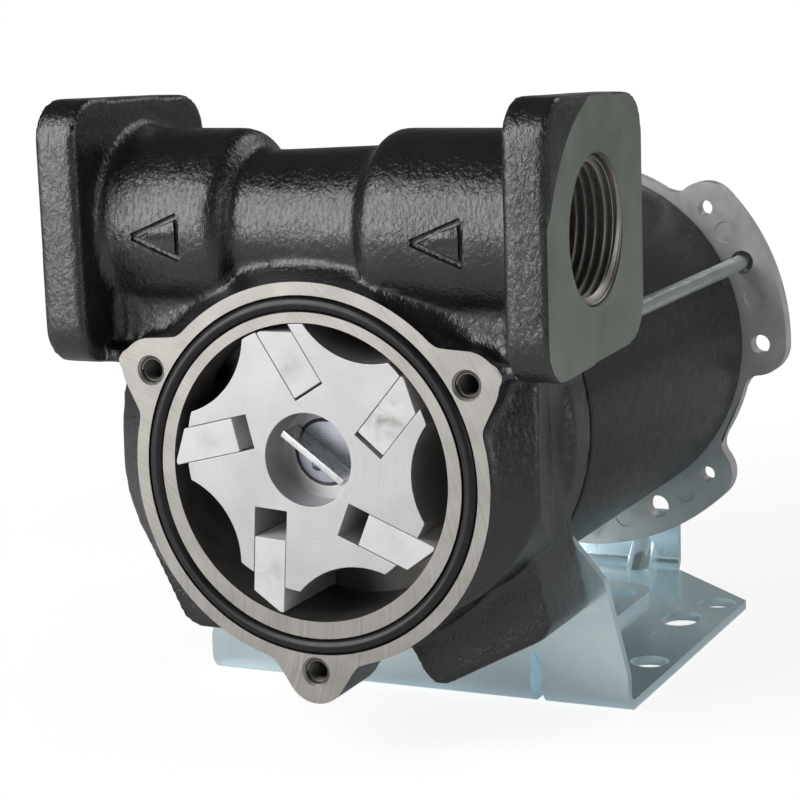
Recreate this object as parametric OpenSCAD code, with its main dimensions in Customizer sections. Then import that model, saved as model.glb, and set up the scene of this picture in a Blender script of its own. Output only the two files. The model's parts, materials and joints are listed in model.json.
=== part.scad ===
// Electric rotary vane fuel pump with its front cover off.
// Millimetres. The motor shaft runs along +Y, away from the open chamber, and +Z is up.
// The origin lies under the middle of the four foot bolts, on the face the foot stands on.

/* [Pump chamber] */
// Bore that the vanes sweep
chamber_d = 70; // [64:0.5:72]
// Depth of the bore from the cover face
chamber_depth = 28; // [24:0.5:31]
// Height of the bore centre above the cover ring centre
chamber_rise = 0.8; // [0.4:0.1:1.2]
// Height of the shaft above the bore centre
eccentricity = 3.2; // [2.6:0.1:3.6]
// Running gap where rotor and bore come closest
rotor_gap = 0.2; // [0.1:0.05:0.4]

/* [Rotor and vanes] */
// Direction of the first vane slot, in degrees from +X towards +Z
first_slot_angle = 121.9; // [115:0.1:128]
// Distance of each slot's middle line from the shaft centre
slot_offset = 9.2; // [8.6:0.1:9.6]
// Distance of each slot's floor along its own direction
slot_floor = 12.9; // [12.5:0.1:13.2]
// Thickness of a vane
vane_t = 8; // [7:0.1:8.4]
// Length of a vane from root to tip
vane_len = 17.4; // [16.6:0.1:17.4]
// Play of a vane in its slot, each side
vane_play = 0.12; // [0.08:0.01:0.2]
// Gap between a vane tip and the bore
tip_gap = 0.3; // [0.25:0.05:0.4]
// Gap between the rotor's faces and the walls beside them
face_gap = 0.2; // [0.1:0.05:0.3]
// Wide front bore of the rotor hub
hub_bore_d = 21.9; // [21:0.1:22.4]
// Depth of the wide front bore
hub_bore_depth = 9.4; // [8:0.1:11]
// Radius of the scallop between two vanes
scallop_r = 20; // [18:0.5:22]
// Distance of a scallop's centre from the shaft centre
scallop_at = 46; // [45.5:0.1:48]

/* [Cover face] */
// Diameter of the machined ring around the chamber
ring_d = 90.8; // [90:0.2:93]
// Cord of the cover seal
seal_cord = 3.5; // [3:0.1:3.6]
// Mean diameter of the cover seal
seal_mean_d = 80.4; // [80:0.1:81]
// Circle of the cover screws
cover_screw_circle_d = 92.8; // [92:0.2:95]
// Drilled size of a tapped cover screw hole
cover_screw_d = 5; // [4:0.1:5.5]
// Depth of a tapped cover screw hole
cover_screw_depth = 15; // [10:1:18]

/* [Housing] */
// Length from the cover face to the motor
housing_len = 53; // [52:0.5:56]
// Thickness of the flange that the motor tube sits on
motor_flange_t = 12; // [11:0.5:13]
// Height of the cover ring centre above the foot
axis_height = 67.2; // [66:0.2:72]

/* [Ports] */
// Distance between the two port faces
port_span = 126; // [122:1:134]
// Height of the port line above the cover ring centre
port_rise = 55.4; // [54:0.1:58]
// Distance of the port line behind the cover face
port_y = 22.6; // [22:0.1:24]
// Major diameter of the port thread
port_thread_d = 33.25; // [31:0.05:34]
// Length of the port thread
port_thread_len = 20; // [16:1:22]
// Outside diameter of a port barrel
barrel_d = 45.2; // [43:0.2:46]
// Height and width of a port flange
flange_side = 62; // [58:0.5:64]
// Thickness of a port flange
flange_t = 10.4; // [9:0.2:12]

/* [Motor] */
// Outside diameter of the motor tube
motor_d = 99.4; // [98:0.2:100]
// Length of the motor tube with its gasket
motor_len = 125; // [122:1:150]
// Wall of the motor tube
tube_wall = 4; // [3.5:0.1:4.5]
// Shaft diameter where it carries the pump rotor
shaft_d = 16; // [15:0.1:16.4]

/* [Rear cap] */
// How far the cap's rim stands out past the motor tube
cap_overhang = 2; // [1:0.2:3]
// Metal outside the middle of an ear's holes
ear_margin = 7.6; // [7:0.2:9]
// Thickness of the cap's rim and ears
ear_t = 5.2; // [4.5:0.1:6]

/* [Tie rods] */
// Diameter of a tie rod's shank
rod_d = 4.4; // [4:0.1:4.8]
// Diameter of a tie rod's threads
rod_thread_d = 5; // [4.8:0.1:5.4]
// Distance from the motor tube to a tie rod's middle
rod_offset = 5.3; // [4.8:0.1:6.5]

/* [Foot bracket] */
// Thickness of the bracket sheet
sheet_t = 2.5; // [2:0.1:3]
// Width of the bracket
foot_w = 115.6; // [114:0.2:124]
// Diameter of a foot bolt hole
foot_hole_d = 10; // [8:0.5:10.5]
// Distance between foot bolts across the shaft
foot_bolts_x = 102; // [98:1:104]
// Distance between foot bolts along the shaft
foot_bolts_y = 59; // [56:1:61]

/* [Bypass valve] */
// Bore that the bypass poppet closes
bypass_seat_d = 10; // [8:0.5:11]

/* [Hidden] */

// Small values shared by several pieces
over = 1;             // overrun of a cut past the face it opens
edge = 0.8;           // broken edge of a machined face
fit_gap = 0.05;       // play of a located fit
seat_gap = 0.1;       // play of a loose seat
fine_fn = 96;
mid_fn = 48;
hex_fn = 6;
half_turn = 180;
full_turn = 360;

// Heights and centres, measured from the centre of the cover ring
chamber_r = chamber_d / 2;
ring_r = ring_d / 2;
shaft_z = chamber_rise + eccentricity;
motor_r = motor_d / 2;
rotor_r = chamber_r - eccentricity - rotor_gap;
rotor_len = chamber_depth - 2 * face_gap;
shaft_r = shaft_d / 2;
hub_bore_r = hub_bore_d / 2;

// Bearings of two standard sizes: bore, outside and width
front_bearing_bore = 17;
front_bearing_d = 40;
front_bearing_w = 12;
front_bearing = [front_bearing_bore, front_bearing_d, front_bearing_w];
rear_bearing_bore = 15;
rear_bearing_d = 35;
rear_bearing_w = 11;
rear_bearing = [rear_bearing_bore, rear_bearing_d, rear_bearing_w];
ball_share = 0.3;     // ball diameter as a share of the bearing's height times two
race_share = 0.28;    // ring thickness as a share of the bearing's height
ball_count = 8;
front_bearing_y = housing_len - front_bearing[2];

// Lip seal between chamber and front bearing
seal_case_d = 30;
seal_case_w = 7;
seal_case_wall = 1.2;
seal_y = front_bearing_y - seal_case_w - edge;
shaft_hole_play = 0.4;

// Motor stack, from front to back
gasket_t = 0.8;
tube_y = housing_len + gasket_t;
cap_y = housing_len + motor_len;
bore_r = motor_r - tube_wall;
spigot_len = 5;
spigot_wall = 4;
magnet_t = 7.5;
magnet_span = 140;
core_r = bore_r - magnet_t - edge;
core_front_room = 24;
core_rear_room = 41.2;
core_y = tube_y + core_front_room;
core_len = cap_y - core_y - core_rear_room;
core_bore_r = 10;
core_slots = 12;
end_turn_len = 11;
brush_w = 12;
brush_h = 8;
brush_wall = 1;
brush_face_gap = 0.15;
commutator_r = 16;
commutator_margin = 3;
commutator_gap = 2;
commutator_len = brush_w + 2 * commutator_margin;
commutator_y = core_y + core_len + end_turn_len + commutator_gap;
brush_y = commutator_y + commutator_len / 2;
brush_plate_t = 3;
brush_plate_y = brush_y + brush_w / 2 + brush_wall;
brush_post_r = 4;
brush_post_inset = 12;
brush_post_at = bore_r - brush_post_inset;
brush_post_angle = 60;
brush_screw_r = 1.5;
brush_screw_head = [2.8, 2];
brush_screw_len = 8;
brush_spring_len = 7;
brush_box_room = 6.55;
brush_box_end = bore_r - brush_box_room;
brush_len = brush_box_end - commutator_r - brush_face_gap - brush_spring_len;

// Rear cap
cap_hub_r = 23;
cap_hub_end = 14;
cap_dome_inset = 3.7;
cap_dome_r = motor_r - cap_dome_inset;
cap_r = motor_r + cap_overhang;
cap_dome_step = 5.5;
cap_wall = 3.2;
rear_bearing_step = 2;
rear_bearing_y = cap_y + rear_bearing_step;
// Ears and what is in them, in degrees from +X, and repeated every quarter turn
ear_angle = 22;
ear_half_span = 27;
ear_round_r = 8.8;
ear_fillet_r = 5;
ear_pin_hole_angle = 45;
ear_rod_angle = 25.4;
ear_foot_angle = 0;
ear_mark_angles = [35.7, 14];
ear_pin_hole_d = 4.4;
ear_rod_hole_d = 6.6;
ear_foot_hole_d = 5.5;
ear_mark_d = 6;
ear_mark_depth = 0.4;
ear_hole_circle_r = motor_r + rod_offset;
ear_reach = ear_hole_circle_r + ear_margin;
quarters = [0, 90, 180, 270];

// Tie rods, nuts and washers
rod_angles = [ear_rod_angle, ear_rod_angle + half_turn];
rod_nut = [8, 4];     // width across flats and thickness
rod_washer = [10, 1];
rod_lug_r = 7.5;
rod_grip = 10;
rod_tail = 1.5;

// Cover seal groove and screw ears
groove_side_gap = 0.2;
groove_squeeze = 0.7;
groove_in_r = seal_mean_d / 2 - seal_cord / 2 - groove_side_gap;
groove_out_r = seal_mean_d / 2 + seal_cord / 2 + groove_side_gap;
cover_ear_angles = [30, 150, 270];
cover_ear_r = 7.7;
cover_ear_flare_angle = 13.5;
cover_ear_t = 20;

// Casting around the chamber: a ring at the front that swells into a duct on each side
duct_half = 54.3;
duct_round_r = 35;
duct_low = 2;
duct_front = 7;
duct_back = 31;
duct_waist = 47.5;
duct_top = 28;
duct_flare = 1.27;
skirt_flare = 0.75;
skirt_run = 10;
web_front = 7;
web_back = 41;
flange_step = 4;
shelf_in = 44;
shelf_low = 24.4;

// Manifold above the chamber
barrel_r = barrel_d / 2;
neck_left_step = 5.2;
neck_right_step = 3.9;
flange_back = port_span / 2 - flange_t;
flange_half = flange_side / 2;
flange_corner_r = 10;
flange_rear_drop = 1.8;
flange_fillet = 3;
spot_face_step = 0.6;
spot_face_r = 40;
spot_face_shift = [7.7, 8.3];
flute_r = 1.5;
flute_at = [3.6, 1];
left_barrel_end = 20.5;
right_barrel_end = 12.5;
shoulder_r = 5;
gallery_step = 2.6;
gallery_r = port_thread_d / 2 - gallery_step;
gallery_left_end = 24;
gallery_right_end = 19;
port_chamfer = 0.8;
passage_r = 8;
passage_x = 27;
passage_shift = 4;
arrow_len = 12;
arrow_h = 10;
arrow_line = 1.4;
arrow_left_x = -37.6;
arrow_right_x = 33.6;
arrow_drop = 0.9;

// Feet of the casting: centre and radius of each round corner, as shares of a reach inside the motor tube's
lug_inset = 4.3;
lug_reach = motor_r - lug_inset;
lug_front = [21.5, 25];
right_lug_shares = [
    [0.264, -0.77, 0.11], [0.4515, -1.095, 0.1145], [0.96, -0.8436, 0.099], [0.859, -0.4405, 0.11]];
left_lug_shares = [[0.352, -0.8855, 0.1145], [0.93, -0.85, 0.15]];
rod_boss_r = 8.4;
foot_screw_d = 6;
foot_screw_head = [10, 4];
foot_screw_grip = 14;
foot_washer = [12, 1.6];
lug_screw_room = 1.003;
lug_screw_angle = 47.8592;
lug_screw_r = motor_r + foot_washer[0] / 2 + lug_screw_room;
lug_screw_x = lug_screw_r * cos(lug_screw_angle);
lug_screw_z = shaft_z - lug_screw_r * sin(lug_screw_angle);

// Foot bracket
foot_z = -axis_height;
foot_front = housing_len;
foot_rear = cap_y + ear_t + sheet_t;
bend_r = 5;
panel_half = foot_w / 2;
panel_side_h = 9;
panel_shoulder = [48, 31];
panel_top = [40.4, 40];
panel_round_r = 4.5;
tube_relief = 1;
lip_half = 28;
lip_top = 19;
foot_side_end = 33;
slot_hole_x = 46.3;
slot_hole_y = 129.5;
slot_hole_d = 10;
slot_hole_len = 14;
inner_hole_x = 24.6;
inner_hole_y = 140.5;
inner_hole_d = 9;
foot_mid_y = 118.5;
pad_half = 32;
pad_front = 72;
pad_rear = 152;
pad_rise = 2.5;
pad_round_r = 8;
front_dart = [33.8, 12];     // place from the middle and height
rear_dart = [17, 8];
dart_r = 4;
rear_foot_screw_d = 5;
rear_foot_head = [8, 3.5];
rear_foot_grip = 14;

// Bypass valve in the neck between the two ports
valve_bore_r = 8.5;
valve_seat_x = -12;
poppet_r = 7.6;
poppet_t = 3;
poppet_stem_r = 2.5;
retainer_t = 5;
retainer_x = gallery_right_end - retainer_t;
retainer_hole_r = 1.6;
retainer_holes = 4;
spring_wire_r = 0.6;

// Places a piece drawn from the cover ring's centre into the part's own frame
module in_frame() translate([0, -foot_mid_y, axis_height]) children();

// Places a piece drawn from the shaft's centre
module on_shaft() in_frame() translate([0, 0, shaft_z]) children();

// A plate whose outline is drawn in X and Z, from y0 backwards
module plate_y(y0, t) translate([0, y0 + t, 0]) rotate([90, 0, 0]) linear_extrude(t) children();

// A plate whose outline is drawn in Y and Z, from x0 towards +X
module plate_x(x0, t) translate([x0, 0, 0]) rotate([90, 0, 90]) linear_extrude(t) children();

// Round bars along Y and X
module rod_y(x, z, y0, len, r, fn = mid_fn)
    translate([x, y0 + len, z]) rotate([90, 0, 0]) cylinder(h = len, r = r, $fn = fn);
module rod_x(y, z, x0, len, r, fn = mid_fn)
    translate([x0, y, z]) rotate([0, 90, 0]) cylinder(h = len, r = r, $fn = fn);
module cone_y(x, z, y0, len, r_front, r_back)
    translate([x, y0 + len, z]) rotate([90, 0, 0]) cylinder(h = len, r1 = r_back, r2 = r_front, $fn = mid_fn);

// Turned shapes: the outline's first value is the radius, its second the place along the axis
module turn_y(outline, fn = fine_fn) rotate([-90, 0, 0]) rotate_extrude($fn = fn) polygon(outline);
module turn_x(outline, fn = fine_fn) rotate([0, 90, 0]) rotate_extrude($fn = fn) polygon(outline);

// Ring along Y
module ring_y(y0, len, r_in, r_out, fn = fine_fn)
    turn_y([[r_in, y0], [r_out, y0], [r_out, y0 + len], [r_in, y0 + len]], fn);

// Hexagon prism along Y, given its width across flats
module hex_y(x, z, y0, len, flats)
    translate([x, y0 + len, z]) rotate([90, 0, 0]) cylinder(h = len, r = flats / sqrt(3), $fn = hex_fn);

// Turns a piece drawn along +X to a direction in the X-Z plane, in degrees towards +Z
module toward(angle) rotate([0, -angle, 0]) children();

// Outline around corner circles, each given as [x, y, radius], in counter-clockwise order
function side_normal(a, b) =
    let (d = [b[0] - a[0], b[1] - a[1]], l = norm(d), s = (a[2] - b[2]) / l)
    s * d / l + sqrt(1 - s * s) * [d[1], -d[0]] / l;
module rounded(corners) {
    n = len(corners);
    polygon([for (i = [0 : n - 1]) let (a = corners[i], b = corners[(i + 1) % n], m = side_normal(a, b))
        each [[a[0], a[1]] + a[2] * m, [b[0], b[1]] + b[2] * m]]);
    for (c = corners) translate([c[0], c[1]]) circle(c[2], $fn = mid_fn);
}

// Rectangle with round corners, from its lowest corner
module round_rect(w, h, r) rounded([[r, r, r], [w - r, r, r], [w - r, h - r, r], [r, h - r, r]]);

// Points of an arc, for the round parts of turned outlines
arc_steps = 6;
function arc(x, y, r, from, to) =
    [for (i = [0 : arc_steps]) let (a = from + (to - from) * i / arc_steps) [x + r * cos(a), y + r * sin(a)]];

// One helical wire along +Z with flat closed ends, as a single tube
wire_sides = 6;
turn_rings = 8;
function coil_point(i, r, pitch) =
    let (a = i * full_turn / turn_rings) [r * cos(a), r * sin(a), pitch * i / turn_rings];
function coil_ring(i, r, pitch, wire) =
    let (a = i * full_turn / turn_rings, c = coil_point(i, r, pitch))
    [for (k = [0 : wire_sides - 1]) let (b = k * full_turn / wire_sides)
        c + wire * [cos(b) * cos(a), cos(b) * sin(a), sin(b)]];
module coil(r, len, turns, wire) {
    pitch = (len - 2 * wire) / turns;
    rings = turns * turn_rings + 1;
    points = [for (i = [0 : rings - 1]) each coil_ring(i, r, pitch, wire)];
    walls = [for (i = [0 : rings - 2], k = [0 : wire_sides - 1], half = [0, 1])
        let (n = (k + 1) % wire_sides, a = i * wire_sides, b = a + wire_sides)
        half == 0 ? [a + k, b + k, b + n] : [a + k, b + n, a + n]];
    last = (rings - 1) * wire_sides;
    ends = [for (k = [1 : wire_sides - 2], half = [0, 1])
        half == 0 ? [0, k, k + 1] : [last, last + k + 1, last + k]];
    echo(coil_least_gap = pitch - 2 * wire);
    translate([0, 0, wire]) polyhedron(points = points, faces = concat(walls, ends));
}

// How far a vane's root may stand out so that each corner of its tip keeps the tip gap
vane_chamfer = 4.3;
vane_tip_flat = 1;
tip_corners = [
    [vane_len, vane_t / 2 - slot_offset], [vane_len, vane_t / 2 - vane_tip_flat - slot_offset],
    [vane_len - vane_chamfer, -vane_t / 2 - slot_offset]];
function wall_reach(angle) = min([for (c = tip_corners)
    sqrt(pow(chamber_r - tip_gap, 2) - pow(eccentricity * cos(angle) + c[1], 2))
    - eccentricity * sin(angle) - c[0]]);
vane_count = 5;
vane_pitch = full_turn / vane_count;
function slot_angle(k) = first_slot_angle - k * vane_pitch;
// The two upper vanes have dropped a little from the bore under their own weight
vane_drop = [0.2, 0.65, 0, 0, 0];
vane_root_gap = 0.3;
function vane_root(k) =
    max(slot_floor + vane_root_gap, wall_reach(slot_angle(k)) - vane_drop[k]);

// Cast iron body: the ring around the chamber and the flange that the motor tube sits on
module ring_body() {
    turn_y([[0, 0], [ring_r - edge / 2, 0], [ring_r, edge / 2], [ring_r, web_back], [0, web_back]]);
    flange_front = housing_len - motor_flange_t;
    translate([0, 0, shaft_z]) turn_y(concat(
        [[0, flange_front - flange_step]],
        arc(motor_r, flange_front - flange_step, flange_step, 180, 90),
        [
        [motor_r, housing_len], [bore_r - seat_gap, housing_len],
        [bore_r - seat_gap, housing_len + spigot_len - edge],
        [bore_r - seat_gap - edge, housing_len + spigot_len], [0, housing_len + spigot_len]]));
}

// A screw ear: a round end with straight flanks that run down into the ring on both sides
module cover_ear(angle) {
    at = cover_screw_circle_d / 2;
    foot = ring_r * [cos(cover_ear_flare_angle), sin(cover_ear_flare_angle)];
    reach = norm(foot - [at, 0]);
    inside = cover_ear_r - fit_gap;
    lean = atan2(foot[1], foot[0] - at) - acos(inside / reach);
    flank = [at + inside * cos(lean), inside * sin(lean)];
    root = foot + (foot - flank) / cover_ear_r;
    toward(angle) plate_y(0, cover_ear_t) {
        translate([at, 0]) circle(cover_ear_r, $fn = mid_fn);
        polygon([
            [groove_in_r, -root[1]], [root[0], -root[1]], [flank[0], -flank[1]],
            flank, root, [groove_in_r, root[1]]]);
    }
}

// Sides that swell around the ducts, narrower again towards the motor
module duct_body() intersection() {
    plate_y(0, web_back) {
        for (s = [-1, 1]) translate([s * (duct_half - duct_round_r), duct_low])
            circle(duct_round_r, $fn = fine_fn);
        translate([-duct_half, duct_low]) square([2 * duct_half, duct_top - duct_low]);
    }
    turn_y([
        [0, edge], [ring_r - edge, edge], [ring_r + duct_flare * skirt_run, edge + skirt_run],
        [ring_r + duct_flare * skirt_run, web_back], [0, web_back]]);
    translate([0, 0, -duct_round_r]) linear_extrude(2 * duct_round_r) polygon([
        [-duct_half, 0], [duct_half, 0], [duct_half, duct_front], [duct_waist, duct_back],
        [duct_waist, web_back], [-duct_waist, web_back],
        [-duct_waist, duct_back], [-duct_half, duct_front]]);
}

module lug(side) {
    front = side < 0 ? lug_front[0] : lug_front[1];
    shares = side < 0 ? left_lug_shares : right_lug_shares;
    boss = [
        ear_hole_circle_r * cos(ear_rod_angle), shaft_z - ear_hole_circle_r * sin(ear_rod_angle), rod_boss_r];
    mirror([side < 0 ? 1 : 0, 0, 0]) plate_y(front, housing_len - front)
        rounded(concat(shares * lug_reach, side < 0 ? [boss, [boss[0] / 2, boss[1], rod_boss_r]] : []));
}

// Upper tie rod lug, hidden behind the right port flange
module rod_lug() translate([0, 0, shaft_z]) toward(ear_rod_angle) {
    rod_y(ear_hole_circle_r, 0, housing_len - motor_flange_t, motor_flange_t, rod_lug_r);
    plate_y(housing_len - motor_flange_t, motor_flange_t)
        translate([core_r, -rod_lug_r]) square([ear_hole_circle_r - core_r, 2 * rod_lug_r]);
}

// A port flange, a little lower at the rear, with its raw face left proud of the machined one
module port_flange(side) mirror([side < 0 ? 1 : 0, 0, 0]) difference() {
    c = flange_half - flange_corner_r;
    plate_x(flange_back, flange_t + spot_face_step) translate([port_y, port_rise]) rounded([
        [-c, -c, flange_corner_r], [c, -c + flange_rear_drop, flange_corner_r],
        [c, c - flange_rear_drop, flange_corner_r], [-c, c, flange_corner_r]]);
    middle = port_rise - side * spot_face_shift[1];
    rod_x(port_y + spot_face_shift[0], middle, flange_back + flange_t, spot_face_step + over,
        spot_face_r, fine_fn);
    translate([flange_back + flange_t, port_y - flange_side, middle - (side > 0 ? flange_side : 0)])
        cube([spot_face_step + over, 2 * flange_side, flange_side]);
}

// Port barrels joined by the neck, then the web that carries them
module manifold() {
    translate([0, port_y, port_rise]) turn_x(concat(
        [[0, -flange_back], [barrel_r + flange_fillet, -flange_back]],
        arc(barrel_r + flange_fillet, -flange_back + flange_fillet, flange_fillet, 270, 180),
        arc(barrel_r - shoulder_r, -left_barrel_end - shoulder_r, shoulder_r, 0, 90),
        [[barrel_r - neck_left_step, -left_barrel_end + edge],
        [barrel_r - neck_right_step, right_barrel_end - edge]],
        arc(barrel_r - shoulder_r, right_barrel_end + shoulder_r, shoulder_r, 270, 360),
        arc(barrel_r + flange_fillet, flange_back - flange_fillet, flange_fillet, 180, 90),
        [[barrel_r + flange_fillet, flange_back], [0, flange_back]]));
    for (side = [-1, 1]) port_flange(side);
    translate([-flange_back, web_front, duct_top - edge])
        cube([2 * flange_back, web_back - web_front, port_rise - duct_top + edge]);
    intersection() {
        turn_y([
            [0, edge], [ring_r - edge, edge],
            [ring_r + skirt_flare * skirt_run, edge + skirt_run], [0, edge + skirt_run]]);
        translate([-flange_back, 0, duct_top - edge])
            cube([2 * flange_back, edge + skirt_run, port_rise - duct_top + edge]);
    }
    for (side = [-1, 1]) {
        // Upright flutes in the corner between web and flange
        for (at = flute_at) translate([side * (flange_back - at), web_front, duct_top])
            cylinder(h = port_rise - duct_top, r = flute_r, $fn = mid_fn);
        // The low shelf outside each upper ear that the cover face's cut has caught
        translate([side < 0 ? -flange_back : shelf_in, edge / 2, shelf_low])
            cube([flange_back - shelf_in, web_front, duct_top - shelf_low]);
    }
}

// A flow arrow that points to -X, sunk into the front of a barrel
module flow_arrow(x) {
    depth = arrow_line;
    front = port_y - barrel_r - over;
    plate_y(front, depth + over) difference() {
        translate([x, port_rise - arrow_drop])
            polygon([[-arrow_len / 2, 0], [arrow_len / 2, arrow_h / 2], [arrow_len / 2, -arrow_h / 2]]);
        translate([x + arrow_line / 2, port_rise - arrow_drop]) polygon([
            [-arrow_len / 2 + 2 * arrow_line, 0],
            [arrow_len / 2 - 1.5 * arrow_line, arrow_h / 2 - 1.5 * arrow_line],
            [arrow_len / 2 - 1.5 * arrow_line, -arrow_h / 2 + 1.5 * arrow_line]]);
    }
}

module port_cuts(side, gallery_end) {
    face = port_span / 2;
    translate([0, port_y, port_rise]) mirror([side < 0 ? 1 : 0, 0, 0]) turn_x([
        [0, face + over], [port_thread_d / 2 + port_chamfer + over, face + over],
        [port_thread_d / 2 + port_chamfer, face], [port_thread_d / 2, face - port_chamfer],
        [port_thread_d / 2, face - port_thread_len], [gallery_r, face - port_thread_len - port_chamfer],
        [gallery_r, gallery_end], [0, gallery_end]]);
    // The duct that falls from the gallery into the chamber wall
    translate([side * passage_x, port_y - passage_shift, chamber_rise + chamber_r / 2])
        cylinder(h = port_rise - chamber_rise - chamber_r / 2, r = passage_r, $fn = mid_fn);
}

module bypass_cuts() {
    rod_x(port_y, port_rise, -gallery_left_end - over, gallery_left_end + valve_seat_x + 2 * over,
        bypass_seat_d / 2);
    rod_x(port_y, port_rise, valve_seat_x, gallery_right_end + over - valve_seat_x, valve_bore_r);
}

module housing() color("#2b2c2f") in_frame() difference() {
    union() {
        ring_body();
        for (a = cover_ear_angles) cover_ear(a);
        duct_body();
        for (side = [-1, 1]) lug(side);
        rod_lug();
        manifold();
    }
    // Chamber and seal groove
    translate([0, 0, chamber_rise]) rod_y(0, 0, -over, chamber_depth + over, chamber_r, fine_fn);
    ring_y(-over, over + seal_cord - groove_squeeze, groove_in_r, groove_out_r);
    for (a = cover_ear_angles) toward(a) {
        rod_y(cover_screw_circle_d / 2, 0, -over, cover_screw_depth + over, cover_screw_d / 2);
        cone_y(cover_screw_circle_d / 2, 0, -edge / 2, edge, cover_screw_d / 2 + edge, cover_screw_d / 2);
    }
    // Shaft hole, seal seat and bearing seat
    translate([0, 0, shaft_z]) turn_y([
        [0, chamber_depth - over], [front_bearing[0] / 2 + shaft_hole_play, chamber_depth - over],
        [front_bearing[0] / 2 + shaft_hole_play, seal_y], [seal_case_d / 2, seal_y],
        [seal_case_d / 2, front_bearing_y], [front_bearing[1] / 2, front_bearing_y],
        [front_bearing[1] / 2, housing_len + clip_play], [clip_groove_r, housing_len + clip_play],
        [clip_groove_r, housing_len + 2 * clip_play + clip_t],
        [front_bearing[1] / 2, housing_len + 2 * clip_play + clip_t],
        [front_bearing[1] / 2, housing_len + spigot_len + over], [0, housing_len + spigot_len + over]]);
    // Tapped holes for the foot screws and the tie rods
    for (side = [-1, 1]) rod_y(side * lug_screw_x, lug_screw_z,
        housing_len - foot_screw_grip - over, foot_screw_grip + 2 * over, foot_screw_d / 2 + fit_gap);
    translate([0, 0, shaft_z]) for (a = rod_angles) toward(a)
        rod_y(ear_hole_circle_r, 0, housing_len - rod_grip - over, rod_grip + 2 * over,
            rod_thread_d / 2 + fit_gap);
    port_cuts(-1, gallery_left_end);
    port_cuts(1, gallery_right_end);
    bypass_cuts();
    flow_arrow(arrow_left_x);
    flow_arrow(arrow_right_x);
}

module cover_seal() color("#141414") in_frame()
    translate([0, seal_cord / 2 - groove_squeeze, 0]) rotate([-90, 0, 0])
        rotate_extrude($fn = fine_fn) translate([seal_mean_d / 2, 0]) circle(seal_cord / 2, $fn = 24);

// Sintered rotor with five offset slots and five scallops
key_t = 1.7;
key_len = 18.6;
key_front = 2.4;
key_seat = 6;
shaft_front = hub_bore_depth + face_gap;
module rotor() color("#c8c8c4") on_shaft() difference() {
    rod_y(0, 0, face_gap, rotor_len, rotor_r, fine_fn);
    for (k = [0 : vane_count - 1]) toward(slot_angle(k)) {
        slot_half = vane_t / 2 + vane_play;
        translate([slot_floor, face_gap - over, -slot_offset - slot_half])
            cube([rotor_r, rotor_len + 2 * over, 2 * slot_half]);
        toward(vane_pitch / 2 - asin(slot_offset / rotor_r))
            rod_y(scallop_at, 0, face_gap - over, rotor_len + 2 * over, scallop_r, fine_fn);
    }
    rod_y(0, 0, face_gap - over, hub_bore_depth + over, hub_bore_r, fine_fn);
    rod_y(0, 0, face_gap, rotor_len + over, shaft_r + fit_gap);
    toward(key_angle) translate([-key_len / 2 - fit_gap, face_gap, -key_t / 2 - fit_gap])
        cube([key_len + 2 * fit_gap, hub_bore_depth + key_seat + seat_gap, key_t + 2 * fit_gap]);
}

module vane(k) color("#efeeea") on_shaft() toward(slot_angle(k))
    translate([vane_root(k), 0, -slot_offset]) plate_y(face_gap, rotor_len) polygon([
        [0, -vane_t / 2], [vane_len - vane_chamfer, -vane_t / 2],
        [vane_len, vane_t / 2 - vane_tip_flat], [vane_len, vane_t / 2], [0, vane_t / 2]]);
module vane_1() vane(0);
module vane_2() vane(1);
module vane_3() vane(2);
module vane_4() vane(3);
module vane_5() vane(4);

// Flat key that carries the drive from the shaft's slotted end to the rotor
key_angle = -36;
module drive_key() color("#b9bbbd") on_shaft() toward(key_angle)
    translate([-key_len / 2, key_front, -key_t / 2])
        cube([key_len, shaft_front + key_seat - key_front, key_t]);

rear_journal_end = rear_bearing_y + rear_bearing[2] + edge;
module motor_shaft() color("#c4c6c8") on_shaft() difference() {
    turn_y([
        [0, shaft_front], [shaft_r - edge, shaft_front], [shaft_r, shaft_front + edge],
        [shaft_r, chamber_depth + edge], [front_bearing[0] / 2, chamber_depth + 2 * edge],
        [front_bearing[0] / 2, housing_len + edge], [core_bore_r, housing_len + edge],
        [core_bore_r, commutator_y + commutator_len + edge],
        [rear_bearing[0] / 2 + edge, commutator_y + commutator_len + edge],
        [rear_bearing[0] / 2 + edge, rear_bearing_y - edge], [rear_bearing[0] / 2, rear_bearing_y - edge],
        [rear_bearing[0] / 2, rear_journal_end - edge], [rear_bearing[0] / 2 - edge, rear_journal_end],
        [0, rear_journal_end]]);
    toward(key_angle) translate([-shaft_r - over, shaft_front - over, -key_t / 2 - fit_gap])
        cube([2 * shaft_r + 2 * over, key_seat + seat_gap + over, key_t + 2 * fit_gap]);
    toward(key_angle - 90) cone_y(shaft_r / 2, 0, shaft_front - edge, 4 * edge, shaft_r / 4, 0);
}

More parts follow.
